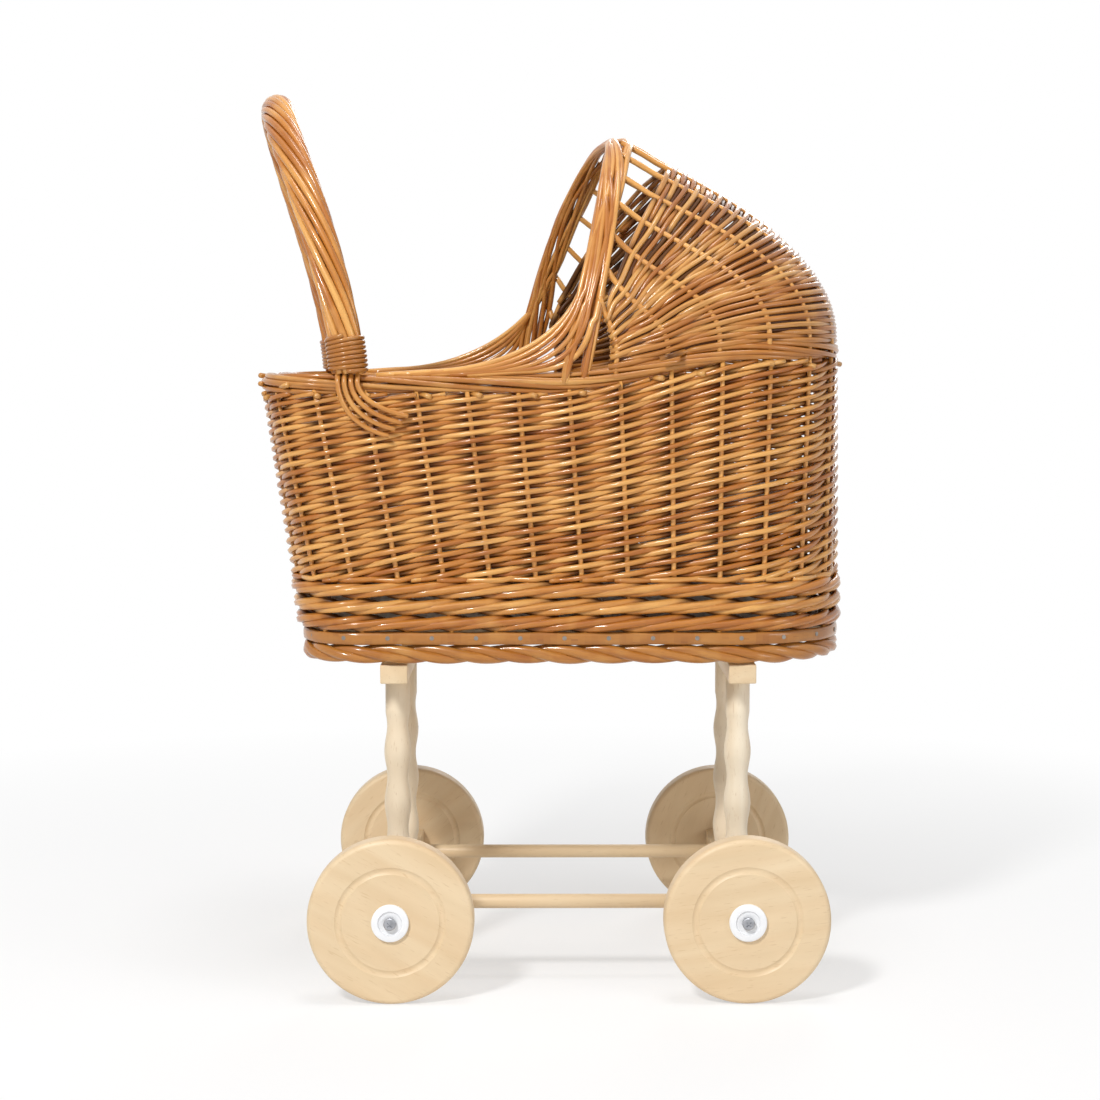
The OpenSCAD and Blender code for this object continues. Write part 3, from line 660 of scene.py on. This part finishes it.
# Waling band: three courses of three rods. Each rod passes in front of two stakes and behind the
# third, climbing as it goes, and the next course lies on the last one.
WALE_COURSES = 3
WALE_ROD = 0.0030
WALE_REACH = 0.0031
WALE_STEPS = 8
WALE_CLIMB = 2.1
WALE_TILT = 0.31


def between_stakes(sides_at, stake):
    """How far out a weaver lies, from -1 behind a stake to 1 in front of it."""
    k = int(stake // 1)
    part = stake - k
    return lerp(sides_at(k), sides_at(k + 1), (part + smooth(part)) / 2)


golden = willow("willow")
draw = Random(11)
course_h = (WALE_TOP - WALE_LOW) / WALE_COURSES
wale_paths = []
for course in range(WALE_COURSES):
    for rod in range(3):
        phase = rod + course
        points, radii, painted_shades = [], [], []
        for i in range((STAKES + 1) * WALE_STEPS + 1):
            stake = i / WALE_STEPS - 0.5
            turn = (stake + phase) % 3
            if turn < WALE_CLIMB:
                rise = lerp(-1, 1, turn / WALE_CLIMB)
            else:
                rise = lerp(1, -1, smooth((turn - WALE_CLIMB) / (3 - WALE_CLIMB)))
            out = between_stakes(lambda k: -1.0 if (k + phase) % 3 == 2 else 1.0, stake - 0.55)
            z = WALE_LOW + course_h * (course + 0.5) + rise * course_h * WALE_TILT
            z += 0.0005 * sin(1.3 * stake + 2.1 * rod + course) + draw.uniform(-0.0001, 0.0001)
            z = max(WALE_LOW + WALE_ROD * 0.8, min(WALE_TOP - WALE_ROD * 0.6, z))
            points.append(round_basket(stake, z, MID - 0.0012 - WALE_REACH * out))
            radii.append(WALE_ROD * (1 + 0.1 * sin(0.7 * stake + rod * 2 + course * 1.3)))
            # Painted shade: the rod is darker where it passes behind a stake.
            painted_shades.append(smooth(0.3 - out))
        wale_paths.append((points, radii, None, painted_shades))
show("waling", rods("waling", wale_paths, 41, 6), "root", golden, ["waling_band"])

# Basket wall: fine single rods, started close together all round on top of the waling. Each one
# climbs past some twenty stakes to the rim, in front of one and behind the next, and thins
# towards its tip.
STROKES = 20.5
WEAVE_R = 0.0022
WEAVE_TIP = 0.0017
WEAVE_REACH = 0.0030
WEAVE_STEPS = 7
EASED = 2
EASE_FROM = 22
EASE_OVER = 10


def climb(stake):
    """Strokes climbed from stake 0 to a stake. The weaver eases off where the rim itself climbs."""
    laps, left = divmod(stake, STAKES)
    return (STAKES - EASED) * laps + left - EASED * smooth((left - EASE_FROM) / EASE_OVER)


wall_low = WALE_TOP + 0.0012
wall_high = RIM_Z - RIM_H / 2
wall_paths = []
for rod in range(2 * (STAKES - EASED)):
    shift = draw.uniform(-0.0004, 0.0004)
    thick = draw.uniform(0.94, 1.08)
    points, radii, painted_shades = [], [], []
    step = 0
    while climb(step / WEAVE_STEPS) < rod / 2 - 0.8:
        step += 1
    while True:
        stake = step / WEAVE_STEPS
        stroke = climb(stake) - rod / 2
        t = max(0.0, stroke / STROKES)
        share = 1.14 * t - 0.14 * t * t
        if share >= 1:
            break
        out = between_stakes(lambda k: 1.0 if (k + rod) % 2 == 0 else -1.0, stake)
        q = round_basket(stake, lerp(wall_low, wall_high, share), MID - WEAVE_REACH * out)
        q.z += share * (rim_line(q.x) - RIM_Z) + shift * sin(pi * min(1.0, 3 * share))
        q.z += 0.0004 * sin(stake * 1.9 + rod)
        points.append(q)
        radii.append(lerp(WEAVE_R, WEAVE_TIP, share) * thick)
        # Painted shade: the rod is darker where it passes behind a stake.
        painted_shades.append(smooth(-0.55 - 1.5 * out))
        step += 1
    wall_paths.append((points, radii, None, painted_shades))
show("wall_weave", rods("wall_weave", wall_paths, 51, 6), "root", golden, ["basket_wall"])

# Rim border: the stakes' upper ends and some added rods, laid down along the rim in a loose flat
# plait of long floats that rises with the wall towards the hood end.
RIM_RODS = 9
RIM_TURNS = 3
RIM_ROD = 0.0019
RIM_IN = 0.006
RIM_WIDE = 0.0033
RIM_TALL = 0.0046
RIM_STEPS = 6
rim_paths = []
for strand in range(RIM_RODS):
    points, radii = [], []
    for i in range(STAKES * RIM_STEPS + 1):
        stake = i / RIM_STEPS
        angle = 2 * pi * (RIM_TURNS * stake / STAKES + strand / RIM_RODS)
        inward = RIM_IN + RIM_WIDE * cos(angle)
        up = RIM_TALL * sin(angle) + 0.0011 * sin(stake * 0.8 + strand * 2.4)
        points.append(round_basket(stake, RIM_Z, inward, 1) + Vector((0, 0, up)))
        radii.append(RIM_ROD * (1 + 0.12 * sin(0.9 * stake + 1.7 * strand)))
    rim_paths.append((points, radii, None))
show("rim_plait", rods("rim_plait", rim_paths, 61, 8), "root", dark_willow, ["rim_border"])

# Cut ends: the border's rods come to a stop round the handle end and below the rim, where they
# are cut off short with a knife. Each end stands out of the border that holds it.
ENDS_OUT = 9
OUT_FROM = 13.6
OUT_TO = 20.4
ENDS_BELOW = 30
END_R = 0.0021
END_TIP = 0.0019
end_paths = []
for k in range(ENDS_OUT):
    stake = lerp(OUT_FROM, OUT_TO, k / (ENDS_OUT - 1)) + draw.uniform(-0.2, 0.2)
    lift = draw.uniform(-0.003, 0.0045)
    points = [
        round_basket(stake - 0.5, RIM_Z + lift - 0.001, 0.007),
        round_basket(stake - 0.2, RIM_Z + lift, 0.0035),
        round_basket(stake + 0.05, RIM_Z + lift + 0.001, -0.0005),
    ]
    end_paths.append((points, [END_R, END_R, END_TIP], None))
for k in range(ENDS_BELOW):
    stake = STAKES * (k + draw.uniform(0.2, 0.8)) / ENDS_BELOW
    drop = draw.uniform(0.0075, 0.0125)
    points = [
        round_basket(stake - 0.18, RIM_Z - drop + 0.002, 0.006, 1),
        round_basket(stake, RIM_Z - drop, -0.0006, 1),
    ]
    end_paths.append((points, [END_R, END_TIP], 0.9))
show("cut_ends", rods("cut_ends", end_paths, 66, 8), "root", dark_willow)

# Hood ribs: fifteen rods that stand in the rim border, lean in and curve over to the front arch,
# where their ends are tucked in. They are bare next to the arch, where the weave has stopped.
HOOD_RIBS = 15
RIB_R = 0.0022
RIB_STEPS = 24
RIB_TUCK = 0.010
RIB_INTO_ARCH = 0.008
HOOD_MID = 0.0042
SEAT_GAP = 0.0003
ARCH_X = 0.0174
ARCH_H = 0.180
ARCH_W = 0.018
ARCH_HALF = RIM_W / 2 - 0.004
ARCH_LEAN = 0.036
ARCH_SKEW = 0.038
BEHIND_ARCH = ARCH_W / 2 + SEAT_GAP


def rim_seat(x):
    """The height at which a piece stands on the rim border."""
    return rim_line(x) + RIM_H / 2 + SEAT_GAP


def arch_at(angle, side):
    """A point of the arch. The angle runs from 0 at a foot to 90 degrees at the crown."""
    x = ARCH_X + ARCH_LEAN * sin(angle) - ARCH_SKEW * (1 + side) / 2 * cos(angle)
    return Vector((x, side * ARCH_HALF * cos(angle), RIM_Z + ARCH_H * sin(angle)))


def arch_angle(u):
    """Where a rib meets the arch: u is 0 for one beside the foot and 1 for one at the crown."""
    return pi / 2 * (0.16 + 0.84 * max(u, 0.0) ** 1.15)


def bezier(p, t):
    """The point at t along a Bezier curve with four control points."""
    s = 1 - t
    return p[0] * s ** 3 + p[1] * (3 * t * s * s) + p[2] * (3 * t * t * s) + p[3] * t ** 3


def hood_curve(u, side):
    """The four control points of a rib's outer line."""
    p = plan(RIM_Z)
    s = stretches(p)
    run = s[0] + s[1] + p[1] - p[4] - arch_at(0, side).x - BEHIND_ARCH - 0.0022
    x, y, _ = along(p, side * run * (1 - u))
    start = Vector((x, y, rim_seat(x) + 0.0002))
    c2 = cos(arch_angle(u)) ** 2
    end = arch_at(arch_angle(u), side) + Vector((BEHIND_ARCH + 0.0005 * c2, 0, 0))
    reach = (end - start).length
    slope = radians(24 + 42 * ((pi / 2 - arch_angle(u)) / radians(70)) ** 3)
    rise = Vector((0.25 * (1 - u) ** 6, 0, 1))
    ahead = Vector((-1, -side * 0.6 * c2, tan(slope))).normalized()
    return start, start + rise * reach * (0.30 + 0.06 * c2), end - ahead * reach * (0.41 + 0.10 * c2), end


def hood_at(t, v):
    """A point of the hood. t runs from -1 at the right arch foot to 1 at the left one."""
    return bezier(hood_curve(1 - abs(t), -1 if t < 0 else 1), v)


def hood_out(t, v):
    """The direction square to the hood, outwards."""
    e = 0.01
    across = hood_at(min(t + e, 1), v) - hood_at(max(t - e, -1), v)
    upwards = hood_at(t, min(v + e, 1)) - hood_at(t, max(v - e, 0))
    return across.cross(upwards).normalized()


def weave_edge(t):
    """How far up a rib the weave stops."""
    return 0.88 + 0.07 * cos(arch_angle(1 - abs(t))) ** 2


def rib_place(i):
    """A rib's place from side to side, as hood_at takes it."""
    return 2 * (i + 0.5) / HOOD_RIBS - 1


def hood_inside(t, v, depth):
    """A point at a depth inside the hood's outer face."""
    return hood_at(t, v) - hood_out(t, v) * depth


rib_paths = []
for i in range(HOOD_RIBS):
    t = rib_place(i)
    points = []
    for k in range(RIB_STEPS + 1):
        v = k / RIB_STEPS
        depth = lerp(HOOD_MID, 0.0015, smooth((v - weave_edge(t)) / (1 - weave_edge(t))))
        points.append(hood_inside(t, v, depth))
    points = [points[0] - Vector((0, 0, RIB_TUCK))] + points
    points.append(points[-1] + (points[-1] - points[-2]).normalized() * RIB_INTO_ARCH)
    rib_paths.append((points, tapered(points, RIB_R * 0.95, RIB_R), 0.8))
show("hood_ribs", rods("hood_ribs", rib_paths, 71, 8), "root", golden, ["hood_open_ribs"])

# Hood weave: rows of single rods that run from side to side and fan out from the arch's feet, so
# that they lie level over the rim and steep under the arch. Most rows fade out between their
# neighbours, and those that reach the front turn back round the last rib in pairs.
HOOD_ROWS = 56
END_ROWS = 14
FAN = 2.2
ROW_FADE = 9
ROW_TIP = 0.42
HOOD_REACH = 0.0013
HOOD_ROD = 0.0021
HOOD_STEPS = 6
MIDDLE_RIB = (HOOD_RIBS - 1) / 2
row_order = []
for lowest, gap in ((1, 4), (3, 4), (0, 2)):
    group = range(lowest, HOOD_ROWS, gap)
    row_order += [group[5 * k % len(group)] for k in range(len(group))]
row_place = {row: place for place, row in enumerate(row_order)}


def rows_at(rib):
    """How many rows cross the hood at a rib number."""
    return HOOD_ROWS - (HOOD_ROWS - END_ROWS) * (abs(rib - MIDDLE_RIB) / MIDDLE_RIB) ** FAN


def row_share(row, rib):
    """1 where a row is whole, falling to 0 where it ends between its neighbours."""
    return smooth((rows_at(rib) - row_place[row]) / ROW_FADE + 0.5)


row_sides = {}
for rib in range(HOOD_RIBS):
    below = 0
    for row in range(HOOD_ROWS):
        row_sides[row, rib] = 1.0 if (below + rib) % 2 == 0 else -1.0
        below += row_share(row, rib) > 0.5


def hood_side(row, rib):
    """How far out a row lies at a rib number, which may lie between two ribs."""
    return between_stakes(lambda k: row_sides[row, max(0, min(HOOD_RIBS - 1, k))], rib)


def weave_point(row, rib):
    """A point of a row. The rows share the height of the weave by how whole each one is."""
    shares = [row_share(other, rib) for other in range(HOOD_ROWS)]
    up = (sum(shares[:row]) + shares[row] / 2 - 0.6) / (sum(shares) - 0.6)
    t = rib_place(rib)
    depth = HOOD_MID - HOOD_REACH * hood_side(row, rib) + 0.003 * (1 - shares[row])
    return hood_inside(t, weave_edge(t) * up, depth)


def row_line(row):
    """The points of a row from the right side to the left, and the painted shade at each."""
    whole = (HOOD_ROWS - row_place[row] + ROW_TIP * ROW_FADE) / (HOOD_ROWS - END_ROWS)
    half = MIDDLE_RIB * min(whole ** (1 / FAN), 1.02)
    count = max(6, round(2 * half * HOOD_STEPS))
    there = [MIDDLE_RIB + half * (2 * k / count - 1) for k in range(count + 1)]
    # Painted shade: the row is darker where it passes behind a rib.
    painted_shades = [smooth(-0.55 - 1.5 * hood_side(row, rib)) for rib in there]
    return [weave_point(row, rib) for rib in there], painted_shades


hood_paths = []
turned_back = sorted(row_order[:END_ROWS])
for row in range(HOOD_ROWS):
    points, painted_shades = row_line(row)
    if row in turned_back[1::2]:
        continue
    if row in turned_back[0::2]:
        back_points, back_painted_shades = row_line(turned_back[turned_back.index(row) + 1])
        bend = (points[-1] + back_points[-1]) / 2
        points += [bend + (bend - points[-3]).normalized() * 0.0015] + back_points[::-1]
        # The bend round the last rib gets half the painted shade.
        painted_shades += [0.5] + back_painted_shades[::-1]
    thick = draw.uniform(0.92, 1.1)
    radii = [HOOD_ROD * thick * (1 + 0.08 * sin(0.11 * k + row)) for k in range(len(points))]
    hood_paths.append((points, radii, None, painted_shades))
show("hood_weave", rods("hood_weave", hood_paths, 81, 6), "root", dark_willow, ["hood_shell"])

# Front arch: a loose bundle of long rods that cross each other on the way up to a rounded crown
# and hold the ribs' ends. Some rods stand in the rim at its feet; the front ones
# leave it low down on each side and sweep forward along the rim towards the handle.
ARCH_T = 0.010
ARCH_ROD = 0.0020
FOOT_RODS = 8
SWEEP_RODS = 6
ARCH_STEPS = 30
SWEEP_STEPS = 18
SWEEP_Y = ARCH_HALF - 0.001


def in_arch(angle, side, wind, wide=1.0):
    """A point of the arch's bundle. wind turns round the bundle."""
    q = arch_at(angle, side)
    outward = Vector((0, q.y, q.z - RIM_Z)).normalized()
    along_x = wide * (ARCH_W / 2 - 0.0008) * cos(wind)
    return q + Vector((along_x, 0, 0)) + outward * (ARCH_T / 2 - 0.0021) * sin(wind)


def sweep(leave, land_x, side, wind):
    """The lower end of a sweeping rod, from where it leaves the arch to its end on the rim."""
    top = in_arch(leave, side, wind)
    down = (top - in_arch(leave + 0.05, side, wind)).normalized()
    height = top.z - RIM_Z
    landed = Vector((land_x, side * SWEEP_Y, rim_seat(land_x) + 0.0012))
    bend = [top, top + down * height * 0.62, landed + Vector((height * 0.55 + 0.012, 0, 0.001)), landed]
    path = [bezier(bend, k / SWEEP_STEPS) for k in range(1, SWEEP_STEPS + 1)]
    return path + [landed + Vector((-0.012 * k, 0, -0.0008 * k)) for k in (1, 2, 3)]


arch_paths = []
for rod in range(FOOT_RODS):
    points = []
    spin = draw.uniform(0, 2 * pi)
    for side, order in ((-1, range(ARCH_STEPS)), (1, range(ARCH_STEPS, -1, -1))):
        for k in order:
            angle = pi / 2 * k / ARCH_STEPS
            turn = angle if side < 0 else pi - angle
            wind = 2 * pi * rod / FOOT_RODS + 1.3 * turn + 1.1 * sin(3.4 * turn + spin)
            points.append(in_arch(angle, side, wind, 0.9 + 0.2 * sin(2 * turn + spin)))
    radii = [ARCH_ROD * (1 + 0.1 * sin(0.07 * k + rod)) for k in range(len(points))]
    arch_paths.append((points, radii, None))
for rod in range(SWEEP_RODS):
    points = []
    spin = draw.uniform(0, 2 * pi)
    spread = pi + 1.3 * (rod - 2.5) / 2.5
    for side in (-1, 1):
        path = []
        leave = radians(15 + 2.2 * rod if side < 0 else 19 + 2.8 * rod)
        for k in range(ARCH_STEPS + 1):
            angle = lerp(leave, pi / 2, k / ARCH_STEPS)
            turn = angle if side < 0 else pi - angle
            wind = spread + 0.9 * sin(1.5 * (pi / 2 - angle)) * side + 0.4 * sin(3 * turn + spin)
            path.append(in_arch(angle, side, wind))
        wind = spread + 0.9 * sin(1.5 * (pi / 2 - leave)) * side
        low_end = sweep(leave, arch_at(0, side).x - 0.040 - 0.013 * rod, side, wind)
        path = list(reversed(low_end)) + path
        points += path if side < 0 else list(reversed(path[:-1]))
    radii = [ARCH_ROD * (1 + 0.1 * sin(0.07 * k + 2 * rod)) for k in range(len(points))]
    arch_paths.append((points, radii, None))
show("arch_bundle", rods("arch_bundle", arch_paths, 91, 8), "root", golden,
     ["hood_arch", "arch_sweep_right", "arch_sweep_left"])

# Handle: a thick bow of willow rods twisted round a core, standing on the rim with its left foot
# set back a little from its right one.
HANDLE_RODS = 11
HANDLE_ROD = 0.0027
HANDLE_CORE = 0.0072
HANDLE_STEPS = 96
HANDLE_H = 0.197
HANDLE_D = 0.025
HANDLE_X = -0.1436
HANDLE_LEAN = 0.061
HANDLE_SKEW = 0.026
HANDLE_HALF = RIM_W / 2 - 0.006
HANDLE_Z = RIM_Z + RIM_H / 2 + SEAT_GAP
HANDLE_TWIST = 4.3


def handle_at(angle):
    """A point of the handle's middle line, from 0 at the right foot to pi at the left one."""
    up = max(0.0, sin(angle))
    x = HANDLE_X - HANDLE_LEAN * up ** 1.5 - HANDLE_SKEW * max(0.0, -cos(angle))
    return Vector((x, -HANDLE_HALF * cos(angle), HANDLE_Z + HANDLE_H * up))


def handle_frame(angle):
    """The middle line's point and two directions square to it: outward and across."""
    q = handle_at(angle)
    ahead = (handle_at(min(pi, angle + 0.01)) - handle_at(max(0.0, angle - 0.01))).normalized()
    across = ahead.cross(Vector((0, q.y, q.z - HANDLE_Z + 0.001)).normalized()).normalized()
    return q, across.cross(ahead), across


handle_paths = []
ring = HANDLE_D / 2 - HANDLE_ROD
for rod in range(HANDLE_RODS):
    points, radii = [], []
    for k in range(HANDLE_STEPS + 1):
        angle = pi * k / HANDLE_STEPS
        q, outward, across = handle_frame(angle)
        wind = 2 * pi * rod / HANDLE_RODS - HANDLE_TWIST * angle
        points.append(q + outward * ring * cos(wind) + across * ring * sin(wind))
        radii.append(HANDLE_ROD * (1 + 0.05 * sin(2 * angle + rod)))
    handle_paths.append((points, radii, None))
# The core lies hidden between the rods, and its dark tone and full painted shade make the gaps between them
# read as shade.
core = [handle_at(pi * k / HANDLE_STEPS) for k in range(HANDLE_STEPS + 1)]
handle_paths.append((core, [HANDLE_CORE] * len(core), 0.1, [1.0] * len(core)))
show("handle_bundle", rods("handle_bundle", handle_paths, 111, 8), "root", golden, ["handle"])

# Handle bindings: eight turns of split willow, wound tight round each foot of the handle just
# above the rim.
BINDING_TURNS = 8
BINDING_H = 0.027
BINDING_R = 0.0017
BINDING_STEPS = 20
bound = 2 * asin(BINDING_H / 2 / HANDLE_H)
ring = HANDLE_D / 2 + 0.0004
for side_name, side in SIDES.items():
    node = "handle_binding_" + side_name
    points = []
    for k in range(BINDING_TURNS * BINDING_STEPS + 1):
        angle = bound * (0.06 + 0.9 * k / (BINDING_TURNS * BINDING_STEPS))
        q, outward, across = handle_frame(angle if side < 0 else pi - angle)
        wind = 2 * pi * k / BINDING_STEPS
        points.append(q + outward * ring * cos(wind) + across * ring * sin(wind))
    path = (points, [BINDING_R] * len(points), 0.5)
    show("binding_" + side_name, rods(node, [path], 121, 8), "root", skein, [node])

# Tails: four of the handle's rods at each foot, brought down outside the wall, turned towards the
# hood and cut off.
TAILS = 4
TAIL_D = 0.004
TAIL_REACH = 0.036
TAIL_PITCH = TAIL_D + 0.0007
TAIL_DROP = 0.018
TAIL_STEPS = 20
stand_off = TAIL_D / 2 + SEAT_GAP + 0.0006
wall_y = plan(RIM_Z)[2]
slant = (BASE_W - RIM_W) / 2 / (RIM_Z - BOARD_Z)
for side_name, side in SIDES.items():
    node = "handle_tails_" + side_name
    foot = handle_at(0.0 if side < 0 else pi)
    tail_paths = []
    for i in range(TAILS):
        start_x = foot.x + TAIL_PITCH * (i - (TAILS - 1) / 2)
        drop = TAIL_DROP + TAIL_PITCH * (TAILS - 1 - i)
        low_y = wall_y + slant * (drop + 0.002)
        bend = [
            Vector((start_x, side * (wall_y + stand_off), RIM_Z + 0.001)),
            Vector((start_x + 0.001, side * (wall_y + stand_off), RIM_Z - drop * 0.5)),
            Vector((start_x + TAIL_REACH * 0.35, side * (low_y + stand_off + 0.001), RIM_Z - drop)),
            Vector((start_x + TAIL_REACH, side * (low_y + stand_off), RIM_Z - drop - 0.005)),
        ]
        knee = Vector((start_x, side * (wall_y - 0.004), RIM_Z + 0.012))
        points = [knee.lerp(bend[0], k / 4) for k in range(4)]
        points += [bezier(bend, k / TAIL_STEPS) for k in range(TAIL_STEPS + 1)]
        tail_paths.append((points, tapered(points, TAIL_D / 2, TAIL_D / 2 * 0.85), 0.6))
    show("tails_" + side_name, rods(node, tail_paths, 131, 8), "root", golden, [node])

# Bedding: an off-white cotton mattress, a pillow propped against the hood end and a duvet folded
# up at its front edge. All three are stuffed covers, and thin dark red piping runs round them.
CLOTH_GRID = 0.005
TAKEN_IN = 0.005
PUFF = 0.0045
PRESSURE = 4
CLOTH_FRAMES = 20
PIPING_R = 0.0011


def bake(piece):
    """Applies a piece's modifiers to its mesh."""
    seen_now = piece.evaluated_get(bpy.context.evaluated_depsgraph_get())
    mesh = bpy.data.meshes.new_from_object(seen_now)
    piece.modifiers.clear()
    piece.data = mesh


def stuffed(name, node):
    """A cover cut a little smaller than its solid and blown up until it is taut."""
    low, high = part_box(node)
    middle = (low + high) / 2
    size = high - low
    made = bmesh.new()
    made.from_mesh(bpy.data.objects[node].data)
    bmesh.ops.remove_doubles(made, verts=made.verts, dist=1e-5)
    for vert in made.verts:
        for axis in range(3):
            vert.co[axis] = middle[axis] + (vert.co[axis] - middle[axis]) * (1 - 2 * TAKEN_IN / size[axis])
    piece = bpy.data.objects.new(name, mesh_of(name, made))
    bpy.context.scene.collection.objects.link(piece)
    gridded = piece.modifiers.new("grid", "REMESH")
    gridded.mode = "VOXEL"
    gridded.voxel_size = CLOTH_GRID
    bake(piece)
    flat = [vert.co.copy() for vert in piece.data.vertices]
    cloth = piece.modifiers.new("cloth", "CLOTH")
    cloth.settings.use_pressure = True
    cloth.settings.uniform_pressure_force = PRESSURE
    cloth.settings.effector_weights.gravity = 0
    for number in range(1, CLOTH_FRAMES + 1):
        bpy.context.scene.frame_set(number)
    bake(piece)
    for vert, start in zip(piece.data.vertices, flat):
        moved = vert.co - start
        vert.co = start + moved * min(1.0, PUFF / max(moved.length, 1e-9))
    bpy.context.scene.frame_set(1)
    rounded = piece.modifiers.new("rounded", "SUBSURF")
    rounded.levels = rounded.render_levels = 1
    bake(piece)
    return piece


def seam_round(mesh, through, square_to):
    """The closed line where a plane cuts a cover, for its piping."""
    made = bmesh.new()
    made.from_mesh(mesh)
    cut = bmesh.ops.bisect_plane(made, geom=made.verts[:] + made.edges[:] + made.faces[:],
                                 plane_co=through, plane_no=square_to)
    edges = [part for part in cut["geom_cut"] if isinstance(part, bmesh.types.BMEdge)]
    beside = {}
    for edge in edges:
        for vert in edge.verts:
            beside.setdefault(vert, []).append(edge.other_vert(vert))
    here = edges[0].verts[0]
    line, last = [], None
    while not line or here is not edges[0].verts[0]:
        line.append(here.co.copy())
        ahead = [other for other in beside[here] if other is not last]
        last, here = here, ahead[0]
    made.free()
    return line[::2] + [line[0]]


cotton, cotton_shader, cotton_start = finish("cotton", Sheen_Weight=0.15, Roughness=0.85)
cotton_place = cotton_start.node("TexCoord", out="Object")
cotton_cloud = cotton_start.node("TexNoise", {}, {"Vector": cotton_place, "Scale": 30, "Detail": 3})
cotton_thread = cotton_start.node("TexNoise", {}, {"Vector": cotton_place, "Scale": 1800, "Detail": 1})
cotton_crease = cotton_start.node("TexNoise", {}, {"Vector": cotton_place, "Scale": 22, "Distortion": 1.5})
cotton_relief = {"Height": cotton_thread * 0.06 + cotton_crease, "Strength": 0.5, "Distance": 0.006}
feed(cotton_shader, Base_Color=cotton_cloud.mix((0.80, 0.785, 0.75), (0.72, 0.70, 0.665)),
     Normal=cotton_start.node("Bump", {}, cotton_relief))
piping, _, _ = finish("piping", Roughness=0.8, Base_Color=(0.16, 0.012, 0.018, 1))

PILLOW_TILT = radians(24)
seams = {
    "mattress": (0.5, (0, 0, 1)),
    "pillow": (0.5, (-sin(PILLOW_TILT), 0, cos(PILLOW_TILT))),
    "duvet": (0.42, (0, 0, 1)),
}
for node, (level, square_to) in seams.items():
    low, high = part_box(node)
    piece = stuffed("stuffed_" + node, node)
    cover = piece.data
    cover.shade_smooth()
    cover.materials.clear()
    cover.materials.append(cotton)
    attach(piece, "root")
    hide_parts(node)
    through = (low + high) / 2 + Vector((0, 0, (high.z - low.z) * (level - 0.5)))
    line = seam_round(cover, through, square_to)
    path = (line, [PIPING_R] * len(line), 0.5)
    show(node + "_piping", rods(node + "_piping", [path], 141, 6), "root", piping)

# Studio: a plain white floor that keeps the stroller's shadow close to it and fades to the white
# of the world around, with four soft round lamps.
FLOOR_SIZE = 30
FADE_FROM = 0.35
FADE_TO = 1.1
floor_mesh = bmesh.new()
bmesh.ops.create_grid(floor_mesh, x_segments=1, y_segments=1, size=FLOOR_SIZE)
floor = bpy.data.objects.new("floor", mesh_of("floor", floor_mesh))
bpy.context.scene.collection.objects.link(floor)
floor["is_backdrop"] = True
floor_paint, floor_shader, floor_start = finish("floor", Roughness=0.9, Base_Color=(0.9, 0.9, 0.9, 1))
floor_place = floor_start.node("TexCoord", out="Object")
reach = floor_start.node("VectorMath", {"operation": "LENGTH"}, {0: floor_place}, "Value")
seen = floor_start.node("LightPath", out="Is Camera Ray")
mirrored = floor_start.node("LightPath", out="Is Glossy Ray")
through = floor_start.node("LightPath", out="Is Transmission Ray")
white = floor_start.node("Emission", {}, {"Color": (1, 1, 1, 1), "Strength": 1.0})
faded = (seen + mirrored + through) * (0.55 + 0.45 * reach.between(FADE_FROM, FADE_TO))
blended = floor_start.node("MixShader", {}, {0: faded, 2: white})
floor_tree = floor_paint.node_tree
floor_tree.links.new(floor_shader.outputs[0], blended.socket.node.inputs[1])
floor_tree.links.new(blended.socket, floor_tree.nodes["Material Output"].inputs[0])
floor.data.materials.append(floor_paint)

world = bpy.data.worlds.new("studio")
bpy.context.scene.world = world
world.use_nodes = True
sky = Shade(world.node_tree)
seen_white = (sky.node("LightPath", out="Is Camera Ray") + sky.node("LightPath", out="Is Glossy Ray")
              + sky.node("LightPath", out="Is Transmission Ray")).between(0, 1)
back = world.node_tree.nodes["Background"]
back.inputs["Color"].default_value = (1, 1, 1, 1)
world.node_tree.links.new((0.20 + seen_white * 0.80).socket, back.inputs["Strength"])


def lamp(name, place, aim, size, watts):
    """A soft round lamp turned towards a point."""
    light = bpy.data.lights.new(name, "AREA")
    light.shape = "DISK"
    light.size = size
    light.energy = watts
    made = bpy.data.objects.new(name, light)
    made.location = place
    made.rotation_euler = (Vector(place) - Vector(aim)).to_track_quat("Z", "Y").to_euler()
    bpy.context.scene.collection.objects.link(made)


MIDDLE = (0, 0, 0.34)
lamp("key", (-1.1, -2.2, 2.2), MIDDLE, 0.45, 69)
lamp("fill", (2.0, -1.7, 0.9), MIDDLE, 1.0, 12)
lamp("top", (0.1, -0.3, 2.5), MIDDLE, 0.8, 17)
lamp("back", (0.6, 2.3, 1.6), MIDDLE, 1.0, 14)

low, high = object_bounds()
